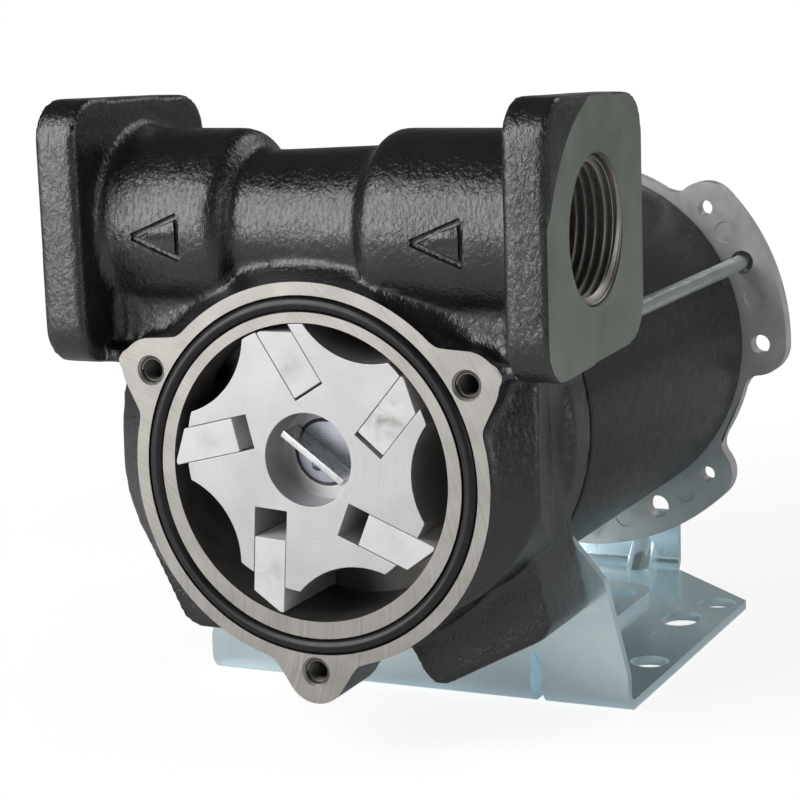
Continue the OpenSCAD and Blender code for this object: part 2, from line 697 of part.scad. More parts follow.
// Lip seal: a pressed steel cup with a rubber lip inside
module shaft_seal_case() color("#9ea1a3") on_shaft() turn_y([
    [seal_case_d / 2 - 3 * seal_case_wall, seal_y], [seal_case_d / 2, seal_y],
    [seal_case_d / 2, seal_y + seal_case_w], [seal_case_d / 2 - seal_case_wall, seal_y + seal_case_w],
    [seal_case_d / 2 - seal_case_wall, seal_y + seal_case_wall],
    [seal_case_d / 2 - 3 * seal_case_wall, seal_y + seal_case_wall]]);
seal_lip_gap = 0.05;
module shaft_seal_lip() color("#1c1c1c") on_shaft() turn_y([
    [front_bearing[0] / 2 + seal_lip_gap, seal_y + 2 * seal_case_wall],
    [front_bearing[0] / 2 + seal_case_wall, seal_y + seal_case_wall],
    [seal_case_d / 2 - seal_case_wall, seal_y + seal_case_wall],
    [seal_case_d / 2 - seal_case_wall, seal_y + seal_case_w - seal_case_wall],
    [seal_case_d / 2 - 2 * seal_case_wall, seal_y + seal_case_w - seal_case_wall],
    [seal_case_d / 2 - 2 * seal_case_wall, seal_y + 3 * seal_case_wall],
    [front_bearing[0] / 2 + 1.5 * seal_case_wall, seal_y + 3 * seal_case_wall]]);

// Deep-groove ball bearings, each in three pieces
ball_gap = 0.04;
function race_r(b) = (b[0] + b[1]) / 4;
function ball_r(b) = ball_share * (b[1] - b[0]) / 2;
function race_t(b) = race_share * (b[1] - b[0]) / 2;
module ball_track(b, y0) translate([0, y0 + b[2] / 2, 0]) rotate([-90, 0, 0])
    rotate_extrude($fn = fine_fn) translate([race_r(b), 0]) circle(ball_r(b) + ball_gap, $fn = 32);
module bearing_inner(b, y0) color("#d0d2d4") on_shaft() difference() {
    ring_y(y0, b[2], b[0] / 2, b[0] / 2 + race_t(b));
    ball_track(b, y0);
}
module bearing_outer(b, y0) color("#c2c4c6") on_shaft() difference() {
    ring_y(y0, b[2], b[1] / 2 - race_t(b), b[1] / 2);
    ball_track(b, y0);
}
module bearing_balls(b, y0) color("#e4e6e8") on_shaft() for (i = [0 : ball_count - 1])
    toward(i * full_turn / ball_count) translate([race_r(b), y0 + b[2] / 2, 0]) sphere(ball_r(b), $fn = 24);
module front_bearing_inner() bearing_inner(front_bearing, front_bearing_y);
module front_bearing_outer() bearing_outer(front_bearing, front_bearing_y);
module front_bearing_balls() bearing_balls(front_bearing, front_bearing_y);
module rear_bearing_inner() bearing_inner(rear_bearing, rear_bearing_y);
module rear_bearing_outer() bearing_outer(rear_bearing, rear_bearing_y);
module rear_bearing_balls() bearing_balls(rear_bearing, rear_bearing_y);

// Spring ring that holds the front bearing in
clip_t = 1.5;
clip_play = 0.1;
clip_groove_depth = 1;
clip_groove_r = front_bearing[1] / 2 + clip_groove_depth;
clip_gap_angle = 40;
module front_bearing_clip() color("#6c6f72") on_shaft() difference() {
    ring_y(housing_len + 1.5 * clip_play, clip_t, front_bearing[1] / 2 - 2 * clip_t, clip_groove_r - fit_gap);
    plate_y(housing_len, clip_t + over) polygon([
        [0, 0], 2 * clip_groove_r * [sin(clip_gap_angle / 2), -cos(clip_gap_angle / 2)],
        2 * clip_groove_r * [-sin(clip_gap_angle / 2), -cos(clip_gap_angle / 2)]]);
}

module tube_gasket() color("#3a3a38") on_shaft() ring_y(housing_len, gasket_t, bore_r, motor_r);
module motor_tube() color("#242527") on_shaft() ring_y(tube_y, cap_y - tube_y, bore_r, motor_r);

// Field magnets glued inside the tube
module magnet(angle) color("#3d3f42") on_shaft() intersection() {
    ring_y(core_y - edge, core_len + 2 * edge, bore_r - magnet_t, bore_r);
    toward(angle) plate_y(core_y - over, core_len + 2 * over) polygon([
        [0, 0], 2 * bore_r * [cos(magnet_span / 2), sin(magnet_span / 2)] , [2 * bore_r, 0],
        2 * bore_r * [cos(magnet_span / 2), -sin(magnet_span / 2)]]);
}
module magnet_upper() magnet(90);
module magnet_lower() magnet(-90);

// Armature: laminated core with slots, copper in the slots and at both ends
slot_w = 6;
slot_in_share = 0.56;
slot_lip = 3;
end_turn_in = 4;
slot_in_r = core_r * slot_in_share;
slot_out_r = core_r - slot_lip;
slot_mouth_w = 2;
module slot_bars(w, y0, len, r_in, r_out) for (i = [0 : core_slots - 1])
    toward(i * full_turn / core_slots) translate([r_in, y0, -w / 2]) cube([r_out - r_in, len, w]);
module armature_core() color("#7b7e80") on_shaft() difference() {
    ring_y(core_y, core_len, core_bore_r, core_r);
    slot_bars(slot_w, core_y - over, core_len + 2 * over, slot_in_r, slot_out_r);
    slot_bars(slot_mouth_w, core_y - over, core_len + 2 * over, slot_out_r - over, core_r + over);
}
module armature_windings() color("#a5622f") on_shaft() {
    slot_bars(slot_w - 2 * seat_gap, core_y, core_len, slot_in_r + seat_gap, slot_out_r - seat_gap);
    for (y0 = [core_y - end_turn_len, core_y + core_len]) turn_y([
        [core_bore_r + end_turn_in, y0], [slot_out_r - edge, y0], [slot_out_r - edge, y0 + end_turn_len],
        [core_bore_r + end_turn_in, y0 + end_turn_len]]);
}
module commutator() color("#b0713a") on_shaft() difference() {
    ring_y(commutator_y, commutator_len, core_bore_r, commutator_r);
    for (i = [0 : core_slots - 1]) toward(i * full_turn / core_slots)
        translate([commutator_r - edge, commutator_y - over, -edge / 4])
            cube([2 * edge, commutator_len + 2 * over, edge / 2]);
}

// Brush gear, screwed to four posts of the rear cap
brush_gap = 2;
module brush_plate() color("#5a3a22") on_shaft() difference() {
    ring_y(brush_plate_y, brush_plate_t, commutator_r + brush_gap, bore_r - spigot_wall - 2 * seat_gap);
    for (a = quarters) toward(a + brush_post_angle)
        rod_y(brush_post_at, 0, brush_plate_y - over, brush_plate_t + 2 * over, brush_screw_r + seat_gap);
}
module brush_plate_screws() color("#b6bcc0") on_shaft() for (a = quarters) toward(a + brush_post_angle) {
    rod_y(brush_post_at, 0, brush_plate_y, brush_screw_len, brush_screw_r);
    rod_y(brush_post_at, 0, brush_plate_y - brush_screw_head[1], brush_screw_head[1], brush_screw_head[0]);
}
module brush_box(side) color("#b89b4e") on_shaft() mirror([side < 0 ? 1 : 0, 0, 0]) difference() {
    wide = brush_w + 2 * brush_wall;
    high = brush_h + 2 * brush_wall;
    start = commutator_r + brush_gap;
    translate([start, brush_y - wide / 2, -high / 2]) cube([brush_box_end + brush_wall - start, wide, high]);
    translate([start - over, brush_y - brush_w / 2 - seat_gap, -brush_h / 2 - seat_gap])
        cube([brush_box_end - start + over, brush_w + 2 * seat_gap, brush_h + 2 * seat_gap]);
}
module brush_box_left() brush_box(-1);
module brush_box_right() brush_box(1);
brush_start = commutator_r + brush_face_gap;
module brush(side) color("#2f2f31") on_shaft() mirror([side < 0 ? 1 : 0, 0, 0]) difference() {
    translate([brush_start - brush_wall, brush_y - brush_w / 2, -brush_h / 2])
        cube([brush_len + brush_wall, brush_w, brush_h]);
    rod_y(0, 0, brush_y - brush_w, 2 * brush_w, brush_start, fine_fn);
}
module brush_left() brush(-1);
module brush_right() brush(1);
brush_spring_turns = 4;
module brush_spring(side) color("#8d9093") on_shaft() mirror([side < 0 ? 1 : 0, 0, 0])
    translate([brush_start + brush_len, brush_y, 0]) rotate([0, 90, 0])
        coil(brush_h / 2 - 2 * spring_wire_r, brush_spring_len, brush_spring_turns, spring_wire_r / 2);
module brush_spring_left() brush_spring(-1);
module brush_spring_right() brush_spring(1);

// Die-cast rear cap with four ears, each blended into the rim at both ends
module cap_ear(angle) toward(angle) {
    reach = ear_reach - ear_round_r;
    half = ear_half_span - asin(ear_round_r / reach) / 2;
    out = cap_r + ear_fillet_r;
    turn = acos((out * out + reach * reach - pow(ear_round_r + ear_fillet_r, 2)) / (2 * out * reach));
    intersection() {
        ring_y(cap_y, ear_t, bore_r, ear_reach);
        plate_y(cap_y, ear_t) polygon([
            [0, 0], 2 * ear_reach * [cos(half), -sin(half)], [2 * ear_reach, 0],
            2 * ear_reach * [cos(half), sin(half)]]);
    }
    for (s = [-1, 1]) {
        toward(s * half) rod_y(reach, 0, cap_y, ear_t, ear_round_r);
        middle = out * [cos(half + turn), s * sin(half + turn)];
        plate_y(cap_y, ear_t) difference() {
            polygon([[0, 0], reach * [cos(half), s * sin(half)], middle]);
            translate(middle) circle(ear_fillet_r, $fn = mid_fn);
        }
    }
}
grommet_r = 5.5;
grommet_inset = 13;
grommet_at = cap_dome_r - grommet_inset;
grommet_angle = 205;
module cap_shell() difference() {
    union() {
        turn_y([
            [0, cap_y], [cap_r, cap_y], [cap_r, cap_y + ear_t - edge], [cap_r - edge, cap_y + ear_t],
            [cap_dome_r, cap_y + ear_t], [cap_dome_r - edge, cap_y + ear_t + cap_dome_step - edge],
            [cap_dome_r - 2 * edge, cap_y + ear_t + cap_dome_step],
            [cap_hub_r + edge, cap_y + ear_t + cap_dome_step],
            [cap_hub_r, cap_y + ear_t + cap_dome_step + edge],
            [cap_hub_r - edge, cap_y + ear_t + cap_hub_end - edge],
            [cap_hub_r - 2 * edge, cap_y + ear_t + cap_hub_end], [0, cap_y + ear_t + cap_hub_end]]);
        ring_y(cap_y - spigot_len, spigot_len + over, bore_r - seat_gap - spigot_wall, bore_r - seat_gap);
        for (a = quarters) cap_ear(ear_angle + a);
    }
    turn_y([
        [0, cap_y - over], [bore_r - seat_gap - spigot_wall, cap_y - over],
        [bore_r - seat_gap - spigot_wall, cap_y + ear_t + cap_dome_step - cap_wall],
        [rear_bearing[1] / 2 + cap_wall, cap_y + ear_t + cap_dome_step - cap_wall],
        [rear_bearing[1] / 2 + cap_wall, rear_bearing_y], [rear_bearing[1] / 2, rear_bearing_y],
        [rear_bearing[1] / 2, rear_bearing_y + rear_bearing[2]],
        [rear_bearing[1] / 2 - cap_wall, rear_bearing_y + rear_bearing[2]],
        [rear_bearing[1] / 2 - cap_wall, cap_y + ear_t + cap_hub_end - cap_wall],
        [0, cap_y + ear_t + cap_hub_end - cap_wall]]);
    for (a = quarters) {
        toward(a + ear_pin_hole_angle)
            rod_y(ear_hole_circle_r, 0, cap_y - over, ear_t + 2 * over, ear_pin_hole_d / 2);
        toward(a + ear_rod_angle)
            rod_y(ear_hole_circle_r, 0, cap_y - over, ear_t + 2 * over, ear_rod_hole_d / 2);
        toward(a + ear_foot_angle)
            rod_y(ear_hole_circle_r, 0, cap_y - over, ear_t + 2 * over, ear_foot_hole_d / 2);
        for (m = ear_mark_angles) toward(a + m)
            rod_y(ear_hole_circle_r, 0, cap_y - over, over + ear_mark_depth, ear_mark_d / 2);
    }
    toward(grommet_angle) rod_y(grommet_at, 0, cap_y, ear_t + cap_dome_step + over, grommet_r);
}
module rear_cap() color("#b3b5b4") on_shaft() difference() {
    union() {
        cap_shell();
        for (a = quarters) toward(a + brush_post_angle) rod_y(brush_post_at, 0,
            brush_plate_y + brush_plate_t,
            cap_y + ear_t + cap_dome_step - cap_wall - brush_plate_y - brush_plate_t, brush_post_r);
    }
    for (a = quarters) toward(a + brush_post_angle) rod_y(brush_post_at, 0,
        brush_plate_y - over, brush_screw_len + over, brush_screw_r + fit_gap);
}
grommet_lip = 2;
grommet_lip_t = 1.6;
module lead_grommet() color("#1b1b1b") on_shaft() toward(grommet_angle) {
    outer = cap_y + ear_t + cap_dome_step;
    rod_y(grommet_at, 0, outer - cap_wall, cap_wall, grommet_r);
    rod_y(grommet_at, 0, outer, grommet_lip_t, grommet_r + grommet_lip);
    rod_y(grommet_at, 0, outer - cap_wall - grommet_lip_t, grommet_lip_t, grommet_r + grommet_lip);
}

// Tie rods from the housing's lugs to the cap's ears
rod_start = housing_len - rod_grip;
rod_end = cap_y + ear_t + rod_washer[1] + rod_nut[1] + rod_tail;
module tie_rod(angle) color("#b6bcc0") on_shaft() toward(angle) {
    rod_y(ear_hole_circle_r, 0, rod_start, rod_grip, rod_thread_d / 2);
    rod_y(ear_hole_circle_r, 0, rod_start, rod_end - rod_start, rod_d / 2);
    rod_y(ear_hole_circle_r, 0, cap_y + ear_t - over, rod_end - cap_y - ear_t + over, rod_thread_d / 2);
}
module tie_rod_right() tie_rod(rod_angles[0]);
module tie_rod_left() tie_rod(rod_angles[1]);
module tie_rod_nuts() color("#b6bcc0") on_shaft() for (a = rod_angles) toward(a) difference() {
    hex_y(ear_hole_circle_r, 0, cap_y + ear_t + rod_washer[1], rod_nut[1], rod_nut[0]);
    rod_y(ear_hole_circle_r, 0, cap_y + ear_t, 2 * rod_nut[1], rod_thread_d / 2 + fit_gap);
}
module tie_rod_washers() color("#b6bcc0") on_shaft() for (a = rod_angles) toward(a) difference() {
    rod_y(ear_hole_circle_r, 0, cap_y + ear_t, rod_washer[1], rod_washer[0] / 2);
    rod_y(ear_hole_circle_r, 0, cap_y + ear_t - over, rod_washer[1] + 2 * over, rod_thread_d / 2 + seat_gap);
}

// Bent sheet foot: an upright panel behind the casting's lugs, a base and a rear lip
module bend_x(y, z, half, from_y, from_z) translate([-half, y, z]) rotate([90, 0, 90])
    linear_extrude(2 * half) {
        intersection() {
            difference() {
                circle(bend_r, $fn = mid_fn);
                circle(bend_r - sheet_t, $fn = mid_fn);
            }
            translate([from_y, from_z]) square(bend_r);
        }
        // Short straight ends that lie in the sheets the bend joins
        translate([from_y < 0 ? 0 : -seat_gap, -bend_r]) square([seat_gap, sheet_t]);
        translate([from_y < 0 ? -bend_r : bend_r - sheet_t, 0]) square([sheet_t, seat_gap]);
    }

module foot_base() difference() {
    translate([0, 0, foot_z]) linear_extrude(sheet_t) polygon([
        [-foot_w / 2, foot_front + bend_r], [foot_w / 2, foot_front + bend_r],
        [foot_w / 2, foot_rear - foot_side_end], [lip_half, foot_rear - bend_r],
        [-lip_half, foot_rear - bend_r], [-foot_w / 2, foot_rear - foot_side_end]]);
    translate([-pad_half + sheet_t, pad_front + sheet_t, foot_z - over]) linear_extrude(sheet_t + 2 * over)
        round_rect(2 * pad_half - 2 * sheet_t, pad_rear - pad_front - 2 * sheet_t, pad_round_r - sheet_t);
}

module foot_pad() difference() {
    translate([-pad_half, pad_front, foot_z]) linear_extrude(sheet_t + pad_rise)
        round_rect(2 * pad_half, pad_rear - pad_front, pad_round_r);
    translate([-pad_half + sheet_t, pad_front + sheet_t, foot_z - over]) linear_extrude(pad_rise + over)
        round_rect(2 * pad_half - 2 * sheet_t, pad_rear - pad_front - 2 * sheet_t, pad_round_r - sheet_t);
}

module foot_panel() difference() {
    plate_y(foot_front, sheet_t) translate([0, foot_z]) {
        rounded([
            [-panel_half + bend_r, bend_r + panel_side_h - bend_r, bend_r],
            [panel_half - bend_r, bend_r + panel_side_h - bend_r, bend_r],
            [panel_shoulder[0], panel_shoulder[1], panel_round_r],
            [panel_top[0], panel_top[1], panel_round_r],
            [-panel_top[0], panel_top[1], panel_round_r],
            [-panel_shoulder[0], panel_shoulder[1], panel_round_r]]);
        translate([-panel_half, bend_r]) square([2 * panel_half, panel_side_h - bend_r]);
    }
    rod_y(0, shaft_z, foot_front - over, sheet_t + 2 * over, motor_r + tube_relief, fine_fn);
    for (s = [-1, 1]) rod_y(s * lug_screw_x, lug_screw_z,
        foot_front - over, sheet_t + 2 * over, foot_screw_d / 2 + 2 * seat_gap);
}

module foot_lip() difference() {
    plate_y(foot_rear - sheet_t, sheet_t) translate([-lip_half, foot_z + bend_r]) {
        square([2 * lip_half, lip_top - bend_r - panel_round_r]);
        translate([panel_round_r, 0]) square([2 * (lip_half - panel_round_r), lip_top - bend_r]);
        for (x = [panel_round_r, 2 * lip_half - panel_round_r])
            translate([x, lip_top - bend_r - panel_round_r]) circle(panel_round_r, $fn = mid_fn);
    }
    rod_y(0, shaft_z - ear_hole_circle_r, foot_rear - sheet_t - over, sheet_t + 2 * over,
        rear_foot_screw_d / 2 + 2 * seat_gap);
}

// A pressed dart across a bend: a round rib on the inside, hollow from the outside
module dart_place(at, y, way) translate([at[0], y, foot_z]) mirror([0, way < 0 ? 1 : 0, 0]) children();
module dart_rod(r, leg) translate([0, 0, leg]) rotate([-135, 0, 0]) translate([0, 0, -leg])
    cylinder(h = 4 * leg, r = r, $fn = mid_fn);
module dart_rib(at, y, way) dart_place(at, y, way) intersection() {
    dart_rod(dart_r, at[1]);
    translate([-dart_r, 0, 0]) cube([2 * dart_r, 3 * at[1], 3 * at[1]]);
}
module dart_hollow(at, y, way) dart_place(at, y, way) {
    dart_rod(dart_r - sheet_t, at[1]);
    translate([0, 0, at[1]]) rotate([-135, 0, 0])
        translate([sheet_t - dart_r, 0, -at[1]]) cube([2 * (dart_r - sheet_t), 2 * at[1], 4 * at[1]]);
}
module darts(hollow) for (s = [-1, 1]) {
    front = [s * front_dart[0], front_dart[1]];
    rear = [s * rear_dart[0], rear_dart[1]];
    if (hollow) {
        dart_hollow(front, foot_front, 1);
        dart_hollow(rear, foot_rear, -1);
    } else {
        dart_rib(front, foot_front, 1);
        dart_rib(rear, foot_rear, -1);
    }
}

module foot_bracket() color("#b9cdd6") in_frame() difference() {
    union() {
        foot_base();
        foot_pad();
        foot_panel();
        foot_lip();
        bend_x(foot_front + bend_r, foot_z + bend_r, foot_w / 2, -bend_r, -bend_r);
        bend_x(foot_rear - bend_r, foot_z + bend_r, lip_half, 0, -bend_r);
        darts(false);
    }
    darts(true);
    for (x = [-1, 1], y = [-1, 1])
        translate([x * foot_bolts_x / 2, foot_mid_y + y * foot_bolts_y / 2, foot_z - over])
            cylinder(h = sheet_t + pad_rise + 2 * over, r = foot_hole_d / 2, $fn = mid_fn);
    for (x = [-1, 1]) {
        translate([x * inner_hole_x, inner_hole_y, foot_z - over])
            cylinder(h = sheet_t + pad_rise + 2 * over, r = inner_hole_d / 2, $fn = mid_fn);
        translate([x * slot_hole_x, slot_hole_y, foot_z - over])
            linear_extrude(sheet_t + pad_rise + 2 * over) {
                for (y = [-1, 1]) translate([0, y * (slot_hole_len - slot_hole_d) / 2])
                    circle(slot_hole_d / 2, $fn = mid_fn);
                square([slot_hole_d, slot_hole_len - slot_hole_d], center = true);
            }
    }
}

// Screws that hold the bracket to the casting and to the cap
module foot_screw(side) color("#b6bcc0") in_frame() {
    head_y = foot_front + sheet_t + foot_washer[1];
    rod_y(side * lug_screw_x, lug_screw_z, housing_len - foot_screw_grip,
        foot_screw_grip + sheet_t + foot_washer[1], foot_screw_d / 2);
    hex_y(side * lug_screw_x, lug_screw_z, head_y, foot_screw_head[1], foot_screw_head[0]);
}
module foot_screw_left() foot_screw(-1);
module foot_screw_right() foot_screw(1);
module foot_washers() color("#b6bcc0") in_frame() for (s = [-1, 1]) difference() {
    rod_y(s * lug_screw_x, lug_screw_z, foot_front + sheet_t, foot_washer[1], foot_washer[0] / 2);
    rod_y(s * lug_screw_x, lug_screw_z, foot_front, 2 * foot_washer[1] + sheet_t,
        foot_screw_d / 2 + 2 * seat_gap);
}
rear_screw_z = shaft_z - ear_hole_circle_r;
module rear_foot_screw() color("#b6bcc0") in_frame() {
    rod_y(0, rear_screw_z, foot_rear + foot_washer[1] / 2 - rear_foot_grip, rear_foot_grip,
        rear_foot_screw_d / 2);
    hex_y(0, rear_screw_z, foot_rear + foot_washer[1] / 2, rear_foot_head[1], rear_foot_head[0]);
}
module rear_foot_washer() color("#b6bcc0") in_frame() difference() {
    rod_y(0, rear_screw_z, foot_rear, foot_washer[1] / 2, rod_washer[0] / 2);
    rod_y(0, rear_screw_z, foot_rear - over, foot_washer[1] / 2 + 2 * over,
        rear_foot_screw_d / 2 + 2 * seat_gap);
}
module rear_foot_nut() color("#b6bcc0") in_frame() difference() {
    hex_y(0, rear_screw_z, cap_y - rod_nut[1], rod_nut[1], rod_nut[0]);
    rod_y(0, rear_screw_z, cap_y - rod_nut[1] - over, rod_nut[1] + 2 * over, rear_foot_screw_d / 2 + fit_gap);
}

// Bypass valve: poppet, spring and the guide that the spring bears on
module on_port() in_frame() translate([0, port_y, port_rise]) children();
module bypass_poppet() color("#e6e2d6") on_port() turn_x([
    [0, valve_seat_x - 2 * edge], [bypass_seat_d / 2 - 2 * edge, valve_seat_x - 2 * edge],
    [bypass_seat_d / 2 - edge, valve_seat_x], [poppet_r, valve_seat_x],
    [poppet_r, valve_seat_x + poppet_t], [poppet_stem_r, valve_seat_x + poppet_t],
    [poppet_stem_r, retainer_x + edge], [0, retainer_x + edge]], mid_fn);
module bypass_retainer() color("#b89b4e") on_port() difference() {
    turn_x([
        [0, retainer_x], [valve_bore_r - fit_gap, retainer_x],
        [valve_bore_r - fit_gap, retainer_x + retainer_t], [0, retainer_x + retainer_t]], mid_fn);
    rod_x(0, 0, retainer_x - over, retainer_t + 2 * over, poppet_stem_r + fit_gap);
    hole_at = (valve_bore_r + poppet_stem_r) / 2;
    for (i = [0 : retainer_holes - 1]) rotate([i * full_turn / retainer_holes, 0, 0])
        rod_x(hole_at, 0, retainer_x - over, retainer_t + 2 * over, retainer_hole_r);
}
bypass_spring_turns = 6;
module bypass_spring() color("#9a9da0") on_port()
    translate([valve_seat_x + poppet_t, 0, 0]) rotate([0, 90, 0])
        coil((poppet_r + poppet_stem_r) / 2, retainer_x - valve_seat_x - poppet_t,
            bypass_spring_turns, spring_wire_r);

housing();
cover_seal();
rotor();
vane_1();
vane_2();
vane_3();
vane_4();
vane_5();
drive_key();
motor_shaft();
shaft_seal_case();
shaft_seal_lip();
front_bearing_inner();
front_bearing_outer();
front_bearing_balls();
front_bearing_clip();
rear_bearing_inner();
rear_bearing_outer();
rear_bearing_balls();
tube_gasket();
motor_tube();
magnet_upper();
magnet_lower();
armature_core();
armature_windings();
commutator();
brush_plate();
brush_plate_screws();
brush_box_left();
brush_box_right();
brush_left();
brush_right();
brush_spring_left();
brush_spring_right();
rear_cap();
lead_grommet();
tie_rod_left();
tie_rod_right();
tie_rod_nuts();
tie_rod_washers();
foot_bracket();
foot_screw_left();
foot_screw_right();
foot_washers();
rear_foot_screw();
rear_foot_nut();
rear_foot_washer();
bypass_poppet();
bypass_spring();
bypass_retainer();
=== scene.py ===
import json
from math import cos, pi, radians, sin, sqrt

import bpy
from mathutils import Matrix, Vector

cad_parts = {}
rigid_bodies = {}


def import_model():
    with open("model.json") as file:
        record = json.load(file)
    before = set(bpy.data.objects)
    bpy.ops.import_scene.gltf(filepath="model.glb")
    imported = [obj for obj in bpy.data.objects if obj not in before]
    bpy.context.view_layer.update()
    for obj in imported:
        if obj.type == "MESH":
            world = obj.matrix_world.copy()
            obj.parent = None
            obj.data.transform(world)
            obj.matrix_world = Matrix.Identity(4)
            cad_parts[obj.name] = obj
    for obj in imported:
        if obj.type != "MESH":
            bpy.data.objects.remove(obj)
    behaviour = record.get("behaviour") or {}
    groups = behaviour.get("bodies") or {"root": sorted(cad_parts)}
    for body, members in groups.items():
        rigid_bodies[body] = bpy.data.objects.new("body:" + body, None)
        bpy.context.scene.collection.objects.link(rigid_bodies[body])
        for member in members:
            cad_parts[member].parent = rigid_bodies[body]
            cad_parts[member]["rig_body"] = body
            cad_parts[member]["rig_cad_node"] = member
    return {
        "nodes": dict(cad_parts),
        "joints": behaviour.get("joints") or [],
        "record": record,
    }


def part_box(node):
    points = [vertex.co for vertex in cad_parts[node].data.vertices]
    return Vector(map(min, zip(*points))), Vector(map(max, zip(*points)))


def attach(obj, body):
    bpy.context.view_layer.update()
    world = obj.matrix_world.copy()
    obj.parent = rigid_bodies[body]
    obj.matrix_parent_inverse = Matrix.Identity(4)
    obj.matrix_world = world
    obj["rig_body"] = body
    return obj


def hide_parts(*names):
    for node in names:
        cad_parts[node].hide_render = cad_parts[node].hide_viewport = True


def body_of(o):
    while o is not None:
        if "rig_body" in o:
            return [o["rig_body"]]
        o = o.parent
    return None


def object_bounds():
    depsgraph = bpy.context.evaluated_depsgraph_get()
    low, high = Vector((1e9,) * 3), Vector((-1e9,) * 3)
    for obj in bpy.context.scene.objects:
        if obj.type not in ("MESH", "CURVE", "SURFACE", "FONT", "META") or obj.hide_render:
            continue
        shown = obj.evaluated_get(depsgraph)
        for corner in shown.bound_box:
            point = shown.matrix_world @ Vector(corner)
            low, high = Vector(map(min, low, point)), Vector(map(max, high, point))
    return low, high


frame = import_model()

# An electric rotary vane fuel pump with its front cover off: black cast body, bright machined
# face, steel rotor with five white vanes, black motor tube, cast rear cap and a zinc plated foot.
# Lengths in the values below are millimetres, and MM turns them into metres.
MM = 0.001
cad_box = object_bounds()

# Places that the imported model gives
mounts = {m["name"]: m for m in frame["record"]["mounts"]}
joints = {j["name"]: j for j in frame["joints"]}
face_middle = Vector(mounts["cover_screws"]["pos_m"])
shaft_point = Vector(joints["rotor_spin"]["pos_m"])
port_point = Vector(mounts["port_right"]["pos_m"])
ear_circle_r = mounts["cover_screws"]["dims"]["pcd_mm"] / 2
thread_r = mounts["port_right"]["dims"]["r_mm"]


def at(x, y, z):
    """A point given in millimetres from the middle of the cover face: right, rearwards and up."""
    return face_middle + Vector((x, y, z)) * MM


def from_face(point):
    """A point of the scene as those three distances in millimetres."""
    return (point - face_middle) / MM


shaft_z = from_face(shaft_point).z
port_y = from_face(port_point).y
port_z = from_face(port_point).z
X, Y = Vector((1, 0, 0)), Vector((0, 1, 0))

# Sizes of the casting's machined places, with one overrun for all cuts
over = 1
chamber_r = 35
chamber_z = 0.8
chamber_depth = 28
groove_r = (38.25, 42.15)
groove_depth = 2.8
ear_angles = (30, 150, 270)
ear_hole_depth = 15
ear_hole_r = 3.05
ear_mouth_r = 4.6
ear_mouth_depth = 0.55
ear_clear_r = 4
drill_point = 1.5
port_face_x = 63
raw_step = 0.6
cover_stock = 3
cover_cut = ((-52.4, -9, -62), (52.4, 0, 50))
port_depth = 20
port_mouth_room = 0.7
port_mouth_depth = 1.2
thread_room = 0.35
spot_face_r = 40
spot_shift = (7.7, 8.3)
spot_reach = 60
gallery_r = 14
gallery_ends = (24, 19)
passage_r = 8
passage_at = (27, 18.6)
passage_foot = 15
shaft_bores = ((8.9, 27, 33.2), (15, 33.2, 41), (20, 41, 60))
shaft_plug = (24, 25, 58)
bypass_bores = ((5, -25, -12), (8.5, -12, 20))
rear_face_y = 53
rear_stock = 7
rear_face_r = 53.5
spigot_r = 45.6
skin_voxel = 1.05

# Sizes of the flow arrows on the barrels
barrel_r = 22.6
arrow_length = 12
arrow_height = 10
arrow_drop = 0.9
arrow_groove_r = 0.85
arrow_rise = 0.1
arrow_middles = (-37.6, 33.6)

# Sizes of the threads
thread_wall = 0.25
port_pitch = 2.309
port_minor_r = 15.15
port_turns = 9
cover_thread_r = 2.95
cover_minor_r = 2.5
cover_pitch = 1.0
cover_turns = 13
cover_thread_start = 0.6
countersink_depth = 2.4
countersink_room = 0.2
countersink_wide = 0.6


def only(*pieces):
    """Selects these pieces alone, the first one active."""
    for o in bpy.context.view_layer.objects:
        o.select_set(False)
    for o in pieces:
        o.select_set(True)
    bpy.context.view_layer.objects.active = pieces[0]


def open_mesh(piece, select="SELECT"):
    only(piece)
    bpy.ops.object.mode_set(mode="EDIT")
    bpy.ops.mesh.select_mode(type="VERT")
    bpy.ops.mesh.select_all(action=select)


def close_mesh():
    bpy.ops.object.mode_set(mode="OBJECT")


def settle(piece):
    """Puts the piece's place into its mesh."""
    only(piece)
    bpy.ops.object.transform_apply(location=True, rotation=True, scale=True)
    return piece


def modify(piece, kind, **values):
    """Adds one modifier with these values and applies it."""
    only(piece)
    m = piece.modifiers.new(kind.lower(), kind)
    for key, value in values.items():
        setattr(m, key, value)
    bpy.ops.object.modifier_apply(modifier=m.name)


def smooth(piece, angle=30):
    only(piece)
    bpy.ops.object.shade_smooth_by_angle(angle=radians(angle))
    return piece


def clean(piece, threshold=0.002):
    """Merges doubles and turns the faces outwards."""
    open_mesh(piece)
    bpy.ops.mesh.remove_doubles(threshold=threshold * MM)
    bpy.ops.mesh.normals_make_consistent(inside=False)
    close_mesh()
    return piece


def copy_of(node, name):
    """A copy of a CAD node's mesh under a new name, its doubles merged."""
    piece = frame["nodes"][node].copy()
    piece.data = piece.data.copy()
    piece.name = name
    piece.parent = None
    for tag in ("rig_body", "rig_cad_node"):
        del piece[tag]
    bpy.context.collection.objects.link(piece)
    only(piece)
    bpy.ops.mesh.customdata_custom_splitnormals_clear()
    piece.data.materials.clear()
    open_mesh(piece)
    bpy.ops.mesh.remove_doubles(threshold=0.01 * MM)
    close_mesh()
    return piece


def bar(a, b, r, sides=96):
    """A round bar between two points, its radius in millimetres."""
    way = b - a
    bpy.ops.mesh.primitive_cone_add(
        vertices=sides, radius1=r * MM, radius2=r * MM, depth=way.length,
        location=(a + b) / 2, rotation=way.to_track_quat("Z", "Y").to_euler())
    return settle(bpy.context.object)


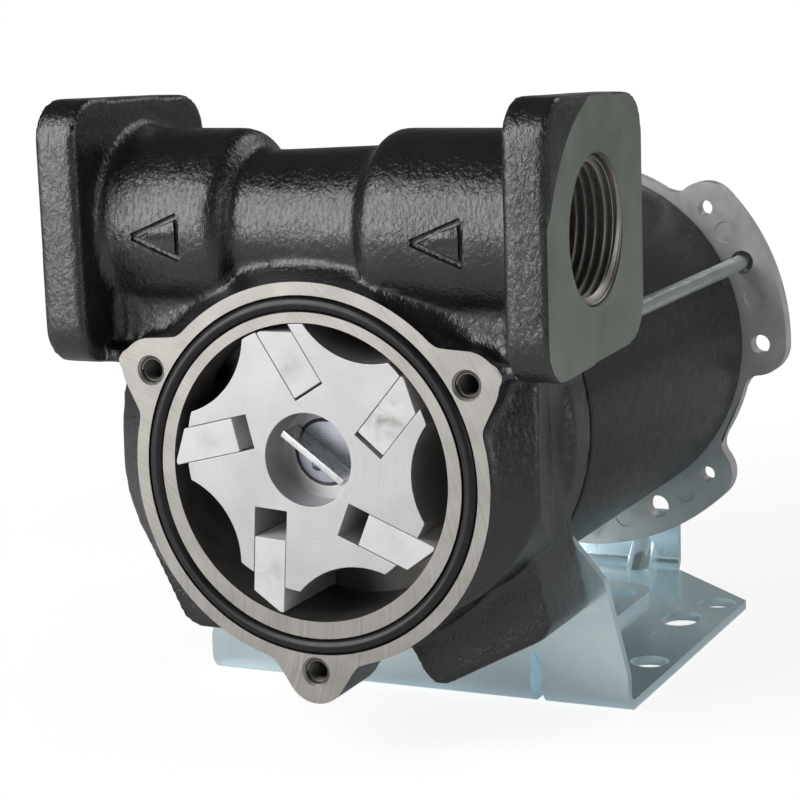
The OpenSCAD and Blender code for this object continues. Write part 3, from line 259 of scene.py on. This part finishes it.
def block(low, high):
    bpy.ops.mesh.primitive_cube_add(size=1, location=(low + high) / 2)
    piece = bpy.context.object
    piece.scale = high - low
    return settle(piece)


def outline_mesh(name, points):
    """A chain of edges through points of the X-Z plane, drawn by extruding one corner onwards."""
    bpy.ops.mesh.primitive_plane_add(size=MM)
    piece = bpy.context.object
    piece.name = name
    open_mesh(piece)
    bpy.ops.mesh.merge(type="CENTER")
    bpy.ops.transform.translate(value=Vector((points[0][0], 0, points[0][1])) * MM)
    for a, b in zip(points, points[1:]):
        step = Vector((b[0] - a[0], 0, b[1] - a[1])) * MM
        bpy.ops.mesh.extrude_region_move(TRANSFORM_OT_translate={"value": step})
    close_mesh()
    return piece


def place(piece, centre, axis):
    """Turns a piece drawn round Z onto another axis and moves it to its centre."""
    piece.rotation_mode = "QUATERNION"
    piece.rotation_quaternion = axis.to_track_quat("Z", "Y")
    piece.location = centre
    return settle(piece)


def turned(name, points, centre, axis, steps=96):
    """A solid turned from (radius, distance along the axis) points."""
    piece = outline_mesh(name, points)
    open_mesh(piece)
    bpy.ops.mesh.spin(steps=steps, angle=2 * pi, center=(0, 0, 0), axis=(0, 0, 1))
    close_mesh()
    clean(piece)
    return clean(place(piece, centre, axis))


def cut(piece, *cutters):
    for cutter in cutters:
        modify(piece, "BOOLEAN", operation="DIFFERENCE", solver="MANIFOLD", object=cutter)
        bpy.data.objects.remove(cutter)


def put(piece, body, slot, *materials):
    """Gives a finished piece its materials and the body it rides on; the slot argument is not used."""
    if materials:
        piece.data.materials.clear()
        for material in materials:
            piece.data.materials.append(material)
    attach(piece, body)
    return piece


# The finishes, all on Object coordinates

class Finish:
    """A procedural material: its tree, its shader and short calls for the nodes that it needs."""

    def __init__(self, name, colour, rough, metal=0.0, **sockets):
        self.material = bpy.data.materials.new(name)
        self.material.use_nodes = True
        self.tree = self.material.node_tree
        self.shader = self.tree.nodes["Principled BSDF"]
        self.shader.inputs["Base Color"].default_value = (*colour, 1)
        self.shader.inputs["Roughness"].default_value = rough
        self.shader.inputs["Metallic"].default_value = metal
        for key, value in sockets.items():
            self.shader.inputs[key.replace("_", " ")].default_value = value
        self.place = self.tree.nodes.new("ShaderNodeTexCoord").outputs["Object"]

    def node(self, kind, inputs=(), **values):
        made = self.tree.nodes.new(kind)
        for key, value in values.items():
            setattr(made, key, value)
        for key, value in dict(inputs).items():
            if isinstance(value, bpy.types.NodeSocket):
                self.tree.links.new(value, made.inputs[key])
            else:
                made.inputs[key].default_value = value
        return made

    def moved(self, centre=(0, 0, 0), stretch=(1, 1, 1)):
        """Object coordinates from another centre, stretched."""
        way = self.node("ShaderNodeVectorMath", {0: self.place, 1: tuple(centre)}, operation="SUBTRACT")
        return self.node("ShaderNodeMapping", {"Vector": way.outputs[0], "Scale": stretch}).outputs[0]

    def noise(self, size, detail=3, rough=0.5, bend=0.0, vector=None):
        """Noise whose grains are this many millimetres."""
        return self.node("ShaderNodeTexNoise", {
            "Vector": vector or self.place, "Scale": 1 / (size * MM), "Detail": detail,
            "Roughness": rough, "Distortion": bend}).outputs["Fac"]

    def rings(self, centre, size, detail=4):
        """Fine rings round an axis along Y, each about this many millimetres wide."""
        flat = self.moved(centre, (1, 0, 1))
        radius = self.node("ShaderNodeVectorMath", {0: flat}, operation="LENGTH").outputs["Value"]
        return self.node("ShaderNodeTexNoise", {
            "W": radius, "Scale": 1 / (size * MM), "Detail": detail}, noise_dimensions="1D").outputs["Fac"]

    def ramp(self, value, low, high, to_low=0.0, to_high=1.0):
        return self.node("ShaderNodeMapRange", {
            "Value": value, "From Min": low, "From Max": high,
            "To Min": to_low, "To Max": to_high}).outputs[0]

    def blend(self, share, colour_a, colour_b):
        return self.node("ShaderNodeMix", {0: share, 6: colour_a, 7: colour_b}, data_type="RGBA").outputs[2]

    def times(self, a, b, operation="MULTIPLY"):
        return self.node("ShaderNodeMath", {0: a, 1: b}, operation=operation).outputs[0]

    def near(self, point, radius, soft=0.5):
        """1 at a point, falling to 0 at this many millimetres from it."""
        way = self.node("ShaderNodeVectorMath", {0: self.place, 1: tuple(point)}, operation="DISTANCE")
        return self.ramp(way.outputs["Value"], radius * MM * soft, radius * MM, 1, 0)

    def colour(self, socket):
        self.tree.links.new(socket, self.shader.inputs["Base Color"])
        return self

    def rough(self, socket):
        self.tree.links.new(socket, self.shader.inputs["Roughness"])
        return self

    def bump(self, height, depth):
        """Height of this many millimetres, on top of the bumps given before."""
        made = self.node("ShaderNodeBump", {"Height": height, "Distance": depth * MM})
        if self.shader.inputs["Normal"].is_linked:
            self.tree.links.new(self.shader.inputs["Normal"].links[0].from_socket, made.inputs["Normal"])
        self.tree.links.new(made.outputs[0], self.shader.inputs["Normal"])
        return self


def grey(value, warm=0.0):
    return (value * (1 + warm), value, value * (1 - warm), 1)


def cast_paint():
    """Thin black paint over sand-cast iron, with the sand's wrinkles showing through."""
    f = Finish("cast_paint", (0.011, 0.011, 0.012), 0.24, Specular_IOR_Level=1.0)
    patches = f.noise(14, 3)
    f.colour(f.blend(f.ramp(patches, 0.35, 0.7), (0.008, 0.0078, 0.0085, 1), (0.018, 0.017, 0.0185, 1)))
    f.rough(f.ramp(f.noise(5, 3), 0.3, 0.7, 0.17, 0.28))
    f.bump(f.noise(4, 2, 0.5), 0.2)
    wrinkle = f.moved(stretch=(1, 1, 0.6))
    return f.bump(f.noise(0.95, 3, 0.6, 0.8, wrinkle), 0.22).material


def machined_iron():
    """Milled face of grey iron: fine arcs of the cutter and soft cloudy patches."""
    f = Finish("machined_iron", (0.55, 0.52, 0.5), 0.4, 0.85)
    cutter = f.rings(at(-60, 0, -30), 0.8)
    cloud = f.noise(9, 3)
    share = f.times(f.ramp(cutter, 0.3, 0.7, 0, 0.45), f.ramp(cloud, 0.3, 0.75, 0, 0.6), "ADD")
    f.colour(f.blend(share, grey(0.34, 0.06), grey(0.5, 0.055)))
    f.rough(f.ramp(cutter, 0.3, 0.7, 0.38, 0.5))
    return f.bump(cutter, 0.02).material


def rotor_steel():
    """Faced steel with turned rings and a few handling marks."""
    f = Finish("rotor_steel", (0.75, 0.74, 0.73), 0.34, 0.85)
    turn = f.rings(shaft_point, 0.55)
    cloud = f.noise(12, 3)
    share = f.times(f.ramp(turn, 0.3, 0.7, 0, 0.4), f.ramp(cloud, 0.3, 0.7, 0, 0.6), "ADD")
    f.colour(f.blend(share, (0.56, 0.545, 0.56, 1), (0.7, 0.685, 0.7, 1)))
    f.rough(f.ramp(turn, 0.3, 0.7, 0.48, 0.56))
    return f.bump(turn, 0.01).material


def vane_plastic(name, stain_point, stain, across):
    """White moulded plastic, faintly stained by fuel at one place."""
    f = Finish(name, (0.84, 0.83, 0.8), 0.36, Subsurface_Weight=0.15, Subsurface_Scale=1.5 * MM)
    cloud = f.noise(8, 3)
    pale = f.blend(f.ramp(cloud, 0.35, 0.7), (0.88, 0.87, 0.87, 1), (0.81, 0.8, 0.8, 1))
    spot = f.times(f.near(stain_point, across, 0.1), f.ramp(f.noise(5, 2, 0.5, 0.5), 0.35, 0.65))
    f.colour(f.blend(f.times(spot, stain), pale, (0.24, 0.2, 0.17, 1)))
    return f.bump(f.noise(0.6, 2), 0.008).material


def plain(name, colour, rough, metal=0.0, size=2.0, spread=0.25, depth=0.01, **sockets):
    """A finish with a soft change of shade and a fine grain."""
    f = Finish(name, colour, rough, metal, **sockets)
    share = f.ramp(f.noise(size * 4, 3), 0.3, 0.7)
    light = tuple(min(1, c * (1 + spread)) for c in colour)
    dark = tuple(c * (1 - spread) for c in colour)
    f.colour(f.blend(share, (*dark, 1), (*light, 1)))
    f.rough(f.ramp(f.noise(size, 2), 0.3, 0.7, rough * 0.85, min(1, rough * 1.2)))
    return f.bump(f.noise(size / 4, 2), depth).material


def zinc_sheet():
    """Blue bright zinc on rolled sheet, with faint draw lines and handling marks, and a faint painted sheen.
    """
    # The emission is a painted sheen: a faint bluish glow standing in for light the sheet would reflect.
    f = Finish("zinc_sheet", (0.7, 0.79, 0.83), 0.24, 0.9,
               Emission_Color=(0.65, 0.9, 1, 1), Emission_Strength=0.1)
    lines = f.noise(1.2, 3, vector=f.moved(stretch=(1, 0.06, 1)))
    cloud = f.noise(16, 4, 0.6, 0.5)
    f.colour(f.blend(f.ramp(cloud, 0.3, 0.7), (0.74, 0.86, 0.91, 1), (0.88, 0.95, 0.97, 1)))
    f.rough(f.ramp(lines, 0.3, 0.7, 0.14, 0.25))
    return f.bump(lines, 0.006).bump(f.noise(20, 1), 0.05).material


def cast_aluminium():
    """Die-cast metal with a dull skin."""
    f = Finish("cast_aluminium", (0.8, 0.8, 0.79), 0.42, 0.5)
    cloud = f.noise(7, 4, 0.6)
    f.colour(f.blend(f.ramp(cloud, 0.3, 0.7), grey(0.72, 0.01), grey(0.88, 0.01)))
    f.rough(f.ramp(f.noise(2, 3), 0.3, 0.7, 0.34, 0.5))
    return f.bump(f.noise(0.7, 3), 0.03).material


def shaft_steel():
    """Ground shaft end, tinted faintly blue."""
    f = Finish("shaft_steel", (0.7, 0.71, 0.75), 0.26, 1.0)
    turn = f.rings(shaft_point, 0.3)
    f.colour(f.blend(f.ramp(f.noise(7, 2), 0.35, 0.65), (0.36, 0.37, 0.44, 1), (0.5, 0.51, 0.57, 1)))
    f.rough(f.ramp(turn, 0.3, 0.7, 0.26, 0.34))
    return f.bump(turn, 0.003).material


paint = cast_paint()
iron = machined_iron()
# The port faces' machined iron, painted darker and greenish: painted shade and a painted green reflection.
shaded_green_port_iron = plain("port_face_iron", (0.35, 0.39, 0.34), 0.42, 0.8, 3, 0.15, 0.01)
# The iron of the bores, the groove and the tapped holes, painted dark as the shade inside them.
shaded_bore_iron = plain("bored_iron", (0.2, 0.19, 0.18), 0.4, 0.8, 2, 0.3, 0.02)
rotor_face = rotor_steel()
zinc = zinc_sheet()
aluminium = cast_aluminium()
shaft_metal = shaft_steel()
key_steel = plain("key_steel", (0.72, 0.73, 0.73), 0.28, 1.0, 1.5, 0.15)
bright_zinc = plain("bright_zinc", (0.66, 0.72, 0.69), 0.3, 1.0, 8, 0.1, 0.004)
tube_paint = plain("tube_paint", (0.011, 0.0115, 0.0115), 0.3, 0, 3, 0.2, 0.012, Specular_IOR_Level=0.3)
rubber = plain("seal_rubber", (0.011, 0.011, 0.012), 0.3, 0, 3, 0.2, 0.008)
# Finishes of the slots whose nodes keep their CAD mesh
node_finishes = {
    "seal_rubber": rubber, "bright_steel": shaft_metal, "zinc_steel": bright_zinc,
    "bearing_steel": plain("bearing_steel", (0.7, 0.7, 0.7), 0.2, 1.0, 2, 0.1, 0.004),
    "spring_steel": plain("spring_steel", (0.4, 0.4, 0.41), 0.35, 1.0, 2, 0.2),
    "gasket_fibre": plain("gasket_fibre", (0.06, 0.06, 0.055), 0.8, 0, 1, 0.3, 0.03),
    "magnet_ferrite": plain("magnet_ferrite", (0.07, 0.07, 0.075), 0.6, 0, 2, 0.25, 0.02),
    "core_steel": plain("core_steel", (0.35, 0.36, 0.37), 0.45, 0.9, 1, 0.25, 0.03),
    "copper": plain("copper", (0.72, 0.32, 0.15), 0.32, 1.0, 2, 0.2),
    "brush_laminate": plain("brush_laminate", (0.2, 0.1, 0.05), 0.5, 0, 2, 0.25),
    "brass": plain("brass", (0.74, 0.56, 0.24), 0.32, 1.0, 2, 0.15),
    "carbon": plain("carbon", (0.03, 0.03, 0.032), 0.6, 0, 1, 0.3, 0.02),
    "poppet_plastic": plain("poppet_plastic", (0.72, 0.7, 0.64), 0.4, 0, 3, 0.08)}
slots = {part["node"]: part["material_slot"] for part in frame["record"]["subparts"]}


# The cast body: a raw skin, smoothed as sand leaves it, then machined

def ear_places():
    return [(ear_circle_r * cos(radians(a)), ear_circle_r * sin(radians(a))) for a in ear_angles]


def raw_plugs():
    """Round bars that fill the chamber, the groove, the tapped holes, the ports and the ducts."""
    front = -cover_stock
    shaft_plug_r, shaft_plug_start, shaft_plug_end = shaft_plug
    plugs = [bar(at(0, front, chamber_z), at(0, chamber_depth + over, chamber_z), chamber_r + over),
             bar(at(0, front, 0), at(0, groove_depth + 2 * over, 0), groove_r[1] + over),
             bar(at(0, shaft_plug_start, shaft_z), at(0, shaft_plug_end, shaft_z), shaft_plug_r)]
    for x, z in ear_places():
        plugs.append(bar(at(x, front, z), at(x, ear_hole_depth + 2 * over, z), ear_clear_r, sides=32))
    raw_x = port_face_x + raw_step
    plugs.append(bar(at(-raw_x, port_y, port_z), at(raw_x, port_y, port_z), thread_r + over))
    for side in (-1, 1):
        x, y = side * passage_at[0], passage_at[1]
        plugs.append(bar(at(x, y, passage_foot), at(x, y, port_z), passage_r + over, sides=48))
    return plugs


def raw_skin():
    """The housing with its machined places filled, remeshed so that every edge and corner is soft."""
    skin = copy_of("housing", "cast_body")
    open_mesh(skin, "DESELECT")
    close_mesh()
    on_face = 0.01
    faces = ((1, 0, -cover_stock), (0, port_face_x, raw_step), (0, -port_face_x, -raw_step))
    for axis, level, shift in faces:
        for v in skin.data.vertices:
            v.select = abs(from_face(v.co)[axis] - level) < on_face
        for e in skin.data.edges:
            e.select = all(skin.data.vertices[i].select for i in e.vertices)
        for p in skin.data.polygons:
            p.select = all(skin.data.vertices[i].select for i in p.vertices)
        only(skin)
        bpy.ops.object.mode_set(mode="EDIT")
        way = [0, 0, 0]
        way[axis] = shift * MM
        bpy.ops.mesh.extrude_region_move(TRANSFORM_OT_translate={"value": way})
        close_mesh()
    only(skin, *raw_plugs())
    bpy.ops.object.join()
    modify(skin, "REMESH", mode="VOXEL", voxel_size=skin_voxel * MM, use_smooth_shade=True)
    modify(skin, "SMOOTH", factor=0.5, iterations=5)
    return skin


def machine_cover_side(body):
    """Cuts the cover face, the chamber, the seal's groove and the three tapped holes."""
    cut(body, block(at(*cover_cut[0]), at(*cover_cut[1])))
    cut(body, bar(at(0, -over, chamber_z), at(0, chamber_depth, chamber_z), chamber_r, sides=192))
    inner, outer = groove_r
    cut(body, turned("groove", [
        (inner, -over), (outer, -over), (outer, groove_depth), (inner, groove_depth), (inner, -over)],
        at(0, 0, 0), Y, 192))
    for x, z in ear_places():
        cut(body, turned("hole", [
            (0, -over), (ear_mouth_r, -over), (ear_hole_r, ear_mouth_depth), (ear_hole_r, ear_hole_depth),
            (0, ear_hole_depth + drill_point)], at(x, 0, z), Y, 48))


def machine_port(body, side, gallery_end):
    """Cuts one port's spot face, its mouth and gallery, and the passage down to the chamber."""
    y, z = port_y + spot_shift[0], port_z - side * spot_shift[1]
    face, far = side * port_face_x, side * (port_face_x + 2 * over)
    cut(body, bar(at(face, y, z), at(far, y, z), spot_face_r, sides=192))
    left, right = sorted((face, far))
    low, high = sorted((z, z - side * spot_reach))
    cut(body, block(at(left, port_y - spot_reach, low), at(right, port_y + spot_reach, high)))
    cut(body, turned("port", [
        (0, port_face_x + over), (thread_r + port_mouth_room + over, port_face_x + over),
        (thread_r + port_mouth_room, port_face_x), (thread_r + thread_room, port_face_x - port_mouth_depth),
        (thread_r + thread_room, port_face_x - port_depth), (gallery_r, port_face_x - port_depth - over),
        (gallery_r, gallery_end), (0, gallery_end)], at(0, port_y, port_z), side * X, 128))
    x, y = side * passage_at[0], passage_at[1]
    cut(body, bar(at(x, y, chamber_z + chamber_r / 2), at(x, y, port_z), passage_r, sides=64))


def machine_bores(body):
    """Cuts the bypass valve's bores, the shaft's bores and the face that the motor tube sits on."""
    for r, start, end in bypass_bores:
        cut(body, bar(at(start, port_y, port_z), at(end, port_y, port_z), r, sides=48))
    steps = [point for r, start, end in shaft_bores for point in ((r, start), (r, end))]
    front, back = shaft_bores[0][1], shaft_bores[-1][2]
    cut(body, turned("bores", [(0, front), *steps, (0, back)], at(0, 0, shaft_z), Y))
    cut(body, turned("rear", [
        (spigot_r, rear_face_y), (rear_face_r, rear_face_y), (rear_face_r, rear_face_y + rear_stock),
        (spigot_r, rear_face_y + rear_stock), (spigot_r, rear_face_y)], at(0, 0, shaft_z), Y, 128))


def arrow_grooves(body):
    """Two flow arrows, each three round grooves that follow the barrel's front."""

    def on_barrel(x, z):
        up = z - port_z
        return at(x, port_y - sqrt(barrel_r ** 2 - up ** 2) + arrow_rise, z)

    z = port_z - arrow_drop
    for middle in arrow_middles:
        tip, back = middle - arrow_length / 2, middle + arrow_length / 2
        corners = [(tip, z), (back, z + arrow_height / 2), (back, z - arrow_height / 2)]
        for a, b in zip(corners, corners[1:] + corners[:1]):
            cut(body, bar(on_barrel(*a), on_barrel(*b), arrow_groove_r, sides=16))


def machined_faces(body):
    """Gives the machined faces their materials by where they lie."""
    # Slot 2 is the port faces' iron with its painted shade and reflection; slot 3 is the bores' iron,
    # painted dark as shade.
    milled, port, bored = 1, 2, 3
    facing = 0.9
    near = 0.05
    near_port = 0.03
    near_rear = 0.02
    near_edge = 0.6
    mouth = 1.5
    for p in body.data.polygons:
        c = from_face(p.center)
        n = p.normal
        from_port = sqrt((c.y - port_y) ** 2 + (c.z - port_z) ** 2)
        from_shaft = sqrt(c.x ** 2 + (c.z - shaft_z) ** 2)
        in_hole = any(sqrt((c.x - x) ** 2 + (c.z - z) ** 2) < ear_clear_r for x, z in ear_places())
        if c.y < near and n.y < -facing and abs(c.x) < cover_cut[1][0] + near_edge and c.z < cover_cut[1][2]:
            p.material_index = milled
        elif abs(abs(c.x) - port_face_x) < near_port and abs(n.x) > facing:
            p.material_index = port
        elif from_port < thread_r + mouth and port_face_x - mouth < abs(c.x) < port_face_x:
            p.material_index = milled
        elif from_port < thread_r + mouth / 3 and abs(c.x) < port_face_x:
            p.material_index = bored
        elif in_hole and c.y < ear_hole_depth + 2 * over:
            p.material_index = milled
        elif c.y < chamber_depth + over / 2 and sqrt(c.x ** 2 + (c.z - chamber_z) ** 2) < chamber_r + near:
            p.material_index = bored
        elif c.y < cover_stock and groove_r[0] - near < sqrt(c.x ** 2 + c.z ** 2) < groove_r[1] + near:
            p.material_index = bored
        elif c.y > rear_face_y - near_rear and from_shaft < rear_face_r:
            p.material_index = milled


def inner_thread(name, start, axis, major, minor, pitch, turns, material, mouth=None):
    """A helical inner thread: one pitch of its flanks is screwed along the axis and given its wall.

    A thread with a mouth is cut back by a countersink at that distance from its start."""
    flat, flank = 0.06 * pitch, 0.44 * pitch
    piece = outline_mesh(name, [
        (minor, 0), (minor, flat), (major, flank),
        (major, pitch - flank), (minor, pitch - flat), (minor, pitch)])
    modify(piece, "SCREW", axis="Z", angle=2 * pi, screw_offset=pitch * MM, iterations=turns,
           steps=64, render_steps=64, use_merge_vertices=True, merge_threshold=0.001 * MM)
    clean(piece, 0.001)
    first = piece.data.polygons[0]
    if first.normal.dot(Vector((first.center.x, first.center.y, 0))) > 0:
        open_mesh(piece)
        bpy.ops.mesh.flip_normals()
        close_mesh()
    modify(piece, "SOLIDIFY", thickness=thread_wall * MM, offset=-1)
    place(piece, start, axis)
    if mouth:
        deep, far = mouth - countersink_depth, mouth + 2 * pitch + over
        wide = major + countersink_wide
        cut(piece, turned("countersink", [
            (0, deep), (minor - countersink_room, deep), (wide, mouth + countersink_room),
            (wide, far), (0, far)], start, axis, 128))
    smooth(clean(piece), 25)
    put(piece, "pump", "cast_black", material)


body = raw_skin()
machine_cover_side(body)
for side, gallery_end in zip((-1, 1), gallery_ends):
    machine_port(body, side, gallery_end)
machine_bores(body)
arrow_grooves(body)
put(body, "pump", "cast_black", paint, iron, shaded_green_port_iron, shaded_bore_iron)
machined_faces(body)
smooth(body, 35)
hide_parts("housing")

for side, word in ((-1, "left"), (1, "right")):
    inner_thread(f"port_thread_{word}", at(side * (port_face_x - port_depth), port_y, port_z), side * X,
                 thread_r, port_minor_r, port_pitch, port_turns, iron, mouth=port_depth)
# The tapped holes' threads take the bores' iron, painted dark as shade.
for (x, z), word in zip(ear_places(), ("right", "left", "lower")):
    inner_thread(f"cover_thread_{word}", at(x, cover_thread_start, z), Y,
                 cover_thread_r, cover_minor_r, cover_pitch, cover_turns, shaded_bore_iron)


# Cover seal: a round cord that sits flat on the groove's floor, with a fine mould line
def cover_seal():
    low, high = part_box("cover_seal")
    cord = (high.y - low.y) / 2
    mean = (high.x - low.x) / 2 - cord
    bpy.ops.mesh.primitive_torus_add(
        major_segments=192, minor_segments=28, major_radius=mean, minor_radius=cord,
        location=(0, 0, 0), rotation=(pi / 2, 0, 0))
    seal = settle(bpy.context.object)
    seal.name = "cover_seal_cord"
    flat = 0.9 * cord
    mould_line = 0.03 * MM
    for v in seal.data.vertices:
        v.co.y = min(v.co.y, flat)
        if abs(v.co.y) < 0.02 * cord:
            swell = 1 + mould_line / sqrt(v.co.x ** 2 + v.co.z ** 2)
            v.co.x *= swell
            v.co.z *= swell
    seal.location = ((low.x + high.x) / 2, (low.y + high.y) / 2, (low.z + high.z) / 2)
    settle(seal)
    smooth(seal, 60)
    put(seal, "pump", "seal_rubber", rubber)
    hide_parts("cover_seal")


cover_seal()


def dress(node, name, width, *materials, segments=2, angle=30):
    """A CAD node's own shape with its edges broken by a small round, in its place."""
    piece = copy_of(node, name)
    open_mesh(piece)
    bpy.ops.mesh.dissolve_limited(angle_limit=radians(0.5))
    close_mesh()
    modify(piece, "BEVEL", width=width * MM, segments=segments, limit_method="ANGLE",
           angle_limit=radians(angle), use_clamp_overlap=True)
    smooth(piece, angle)
    modify(piece, "WEIGHTED_NORMAL", keep_sharp=True)
    put(piece, body_of(frame["nodes"][node])[0], slots[node], *materials)
    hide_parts(node)
    return piece


dress("rotor", "rotor_body", 0.18, rotor_face)
# How strong each vane's stain is, and how many millimetres across
stains = ((0.35, 5), (0.95, 7), (0.25, 6), (0.35, 7), (0.3, 4))
for k, (strength, size) in enumerate(stains, 1):
    low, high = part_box(f"vane_{k}")
    middle = (low + high) / 2
    point = Vector((middle.x, low.y, middle.z))
    dress(f"vane_{k}", f"vane_blade_{k}", 0.25, vane_plastic(f"vane_plastic_{k}", point, strength, size))
dress("drive_key", "drive_key_plate", 0.15, key_steel)
dress("motor_shaft", "motor_shaft_bar", 0.12, shaft_metal)
dress("rear_cap", "rear_cap_casting", 0.45, aluminium, segments=3)
dress("foot_bracket", "foot_sheet", 0.35, zinc)
dress("motor_tube", "motor_tube_shell", 0.4, tube_paint)
for node in ("tie_rod_left", "tie_rod_right", "tie_rod_nuts", "tie_rod_washers", "foot_screw_left",
             "foot_screw_right", "foot_washers", "rear_foot_screw", "rear_foot_nut", "rear_foot_washer"):
    dress(node, node + "_plated", 0.2, bright_zinc)

# The nodes that keep their CAD mesh get their finishes
for node, piece in frame["nodes"].items():
    if not piece.hide_render:
        piece.data.materials.clear()
        piece.data.materials.append(node_finishes[slots[node]])

# Floor, camera and lights

def floor():
    """A matt white floor that glows a little for the camera alone, and keeps the pump's shadow."""
    bpy.ops.mesh.primitive_plane_add(size=12, location=(0, 0, cad_box[0].z))
    plane = settle(bpy.context.object)
    plane.name = "floor"
    made = bpy.data.materials.new("floor_white")
    made.use_nodes = True
    tree = made.node_tree
    nodes, links = tree.nodes, tree.links
    nodes.clear()
    path = nodes.new("ShaderNodeLightPath")
    matt = nodes.new("ShaderNodeBsdfDiffuse")
    matt.inputs["Color"].default_value = (0.92, 0.92, 0.92, 1)
    place_on = nodes.new("ShaderNodeTexCoord")
    away = nodes.new("ShaderNodeVectorMath")
    away.operation = "LENGTH"
    links.new(place_on.outputs["Object"], away.inputs[0])
    brighter = nodes.new("ShaderNodeMapRange")
    for socket, value in (("From Min", 0.2), ("From Max", 0.8), ("To Min", 1.4), ("To Max", 1.62)):
        brighter.inputs[socket].default_value = value
    links.new(away.outputs["Value"], brighter.inputs["Value"])
    glow = nodes.new("ShaderNodeEmission")
    links.new(brighter.outputs[0], glow.inputs["Strength"])
    share = nodes.new("ShaderNodeMath")
    share.operation = "MULTIPLY"
    glow_share = 0.6
    share.inputs[1].default_value = glow_share
    either = nodes.new("ShaderNodeMixShader")
    out = nodes.new("ShaderNodeOutputMaterial")
    links.new(path.outputs["Is Camera Ray"], share.inputs[0])
    links.new(share.outputs[0], either.inputs[0])
    links.new(matt.outputs[0], either.inputs[1])
    links.new(glow.outputs[0], either.inputs[2])
    links.new(either.outputs[0], out.inputs[0])
    plane.data.materials.append(made)


def studio_world():
    """White to the camera. What the metal sees is pale low down and dim above and behind."""
    world = bpy.data.worlds.new("studio")
    bpy.context.scene.world = world
    world.use_nodes = True
    tree = world.node_tree
    nodes, links = tree.nodes, tree.links
    back = nodes["Background"]
    back.inputs["Color"].default_value = (1, 1, 1, 1)
    back.inputs["Strength"].default_value = 1
    room = nodes.new("ShaderNodeBackground")
    way = nodes.new("ShaderNodeTexCoord")
    split = nodes.new("ShaderNodeSeparateXYZ")
    links.new(way.outputs["Generated"], split.inputs[0])
    height = nodes.new("ShaderNodeValToRGB")
    links.new(split.outputs["Z"], height.inputs[0])
    ramp = height.color_ramp
    ramp.elements[0].position, ramp.elements[0].color = 0.0, (0.32, 0.32, 0.33, 1)
    ramp.elements[1].position, ramp.elements[1].color = 0.4, (0.055, 0.065, 0.055, 1)
    links.new(height.outputs[0], room.inputs["Color"])
    room.inputs["Strength"].default_value = 1
    path = nodes.new("ShaderNodeLightPath")
    either = nodes.new("ShaderNodeMixShader")
    links.new(path.outputs["Is Camera Ray"], either.inputs[0])
    links.new(room.outputs[0], either.inputs[1])
    links.new(back.outputs[0], either.inputs[2])
    links.new(either.outputs[0], nodes["World Output"].inputs[0])


def softbox(name, azimuth, elevation, distance, width, height, watts):
    """An area light aimed at the pump. Azimuth 0 is in front of the cover face, positive is right."""
    light = bpy.data.lights.new(name, "AREA")
    light.shape = "RECTANGLE"
    light.size = width
    light.size_y = height
    light.energy = watts
    lamp = bpy.data.objects.new(name, light)
    bpy.context.scene.collection.objects.link(lamp)
    a, e = radians(azimuth), radians(elevation)
    way = Vector((sin(a) * cos(e), -cos(a) * cos(e), sin(e)))
    aim = (cad_box[0] + cad_box[1]) / 2
    lamp.location = aim + way * distance
    lamp.rotation_euler = way.to_track_quat("Z", "Y").to_euler()


def photo_camera():
    """The photograph's camera: its place and its three directions in the pump's frame."""
    right = Vector((0.90815, 0.41732, -0.03339))
    up = Vector((-0.04725, 0.18144, 0.98227))
    forward = Vector((-0.41598, 0.89046, -0.18449))
    camera = bpy.data.cameras.new("photo_camera")
    camera.lens, camera.sensor_width, camera.clip_start = 106.63, 36, 0.01
    holder = bpy.data.objects.new("photo_camera", camera)
    bpy.context.scene.collection.objects.link(holder)
    turn = Matrix((right, up, -forward)).transposed().to_4x4()
    holder.matrix_world = Matrix.Translation((0.24398, -0.58958, 0.18401)) @ turn
    bpy.context.scene.camera = holder


floor()
studio_world()
softbox("key_softbox", -34, 22, 1.1, 0.8, 1.05, 9.4)
softbox("right_fill", 80, 12, 1.4, 0.5, 0.9, 2.2)
softbox("rear_strip", 150, 40, 1.4, 0.9, 0.5, 3)
photo_camera()
bpy.context.scene.view_settings.view_transform = "Standard"
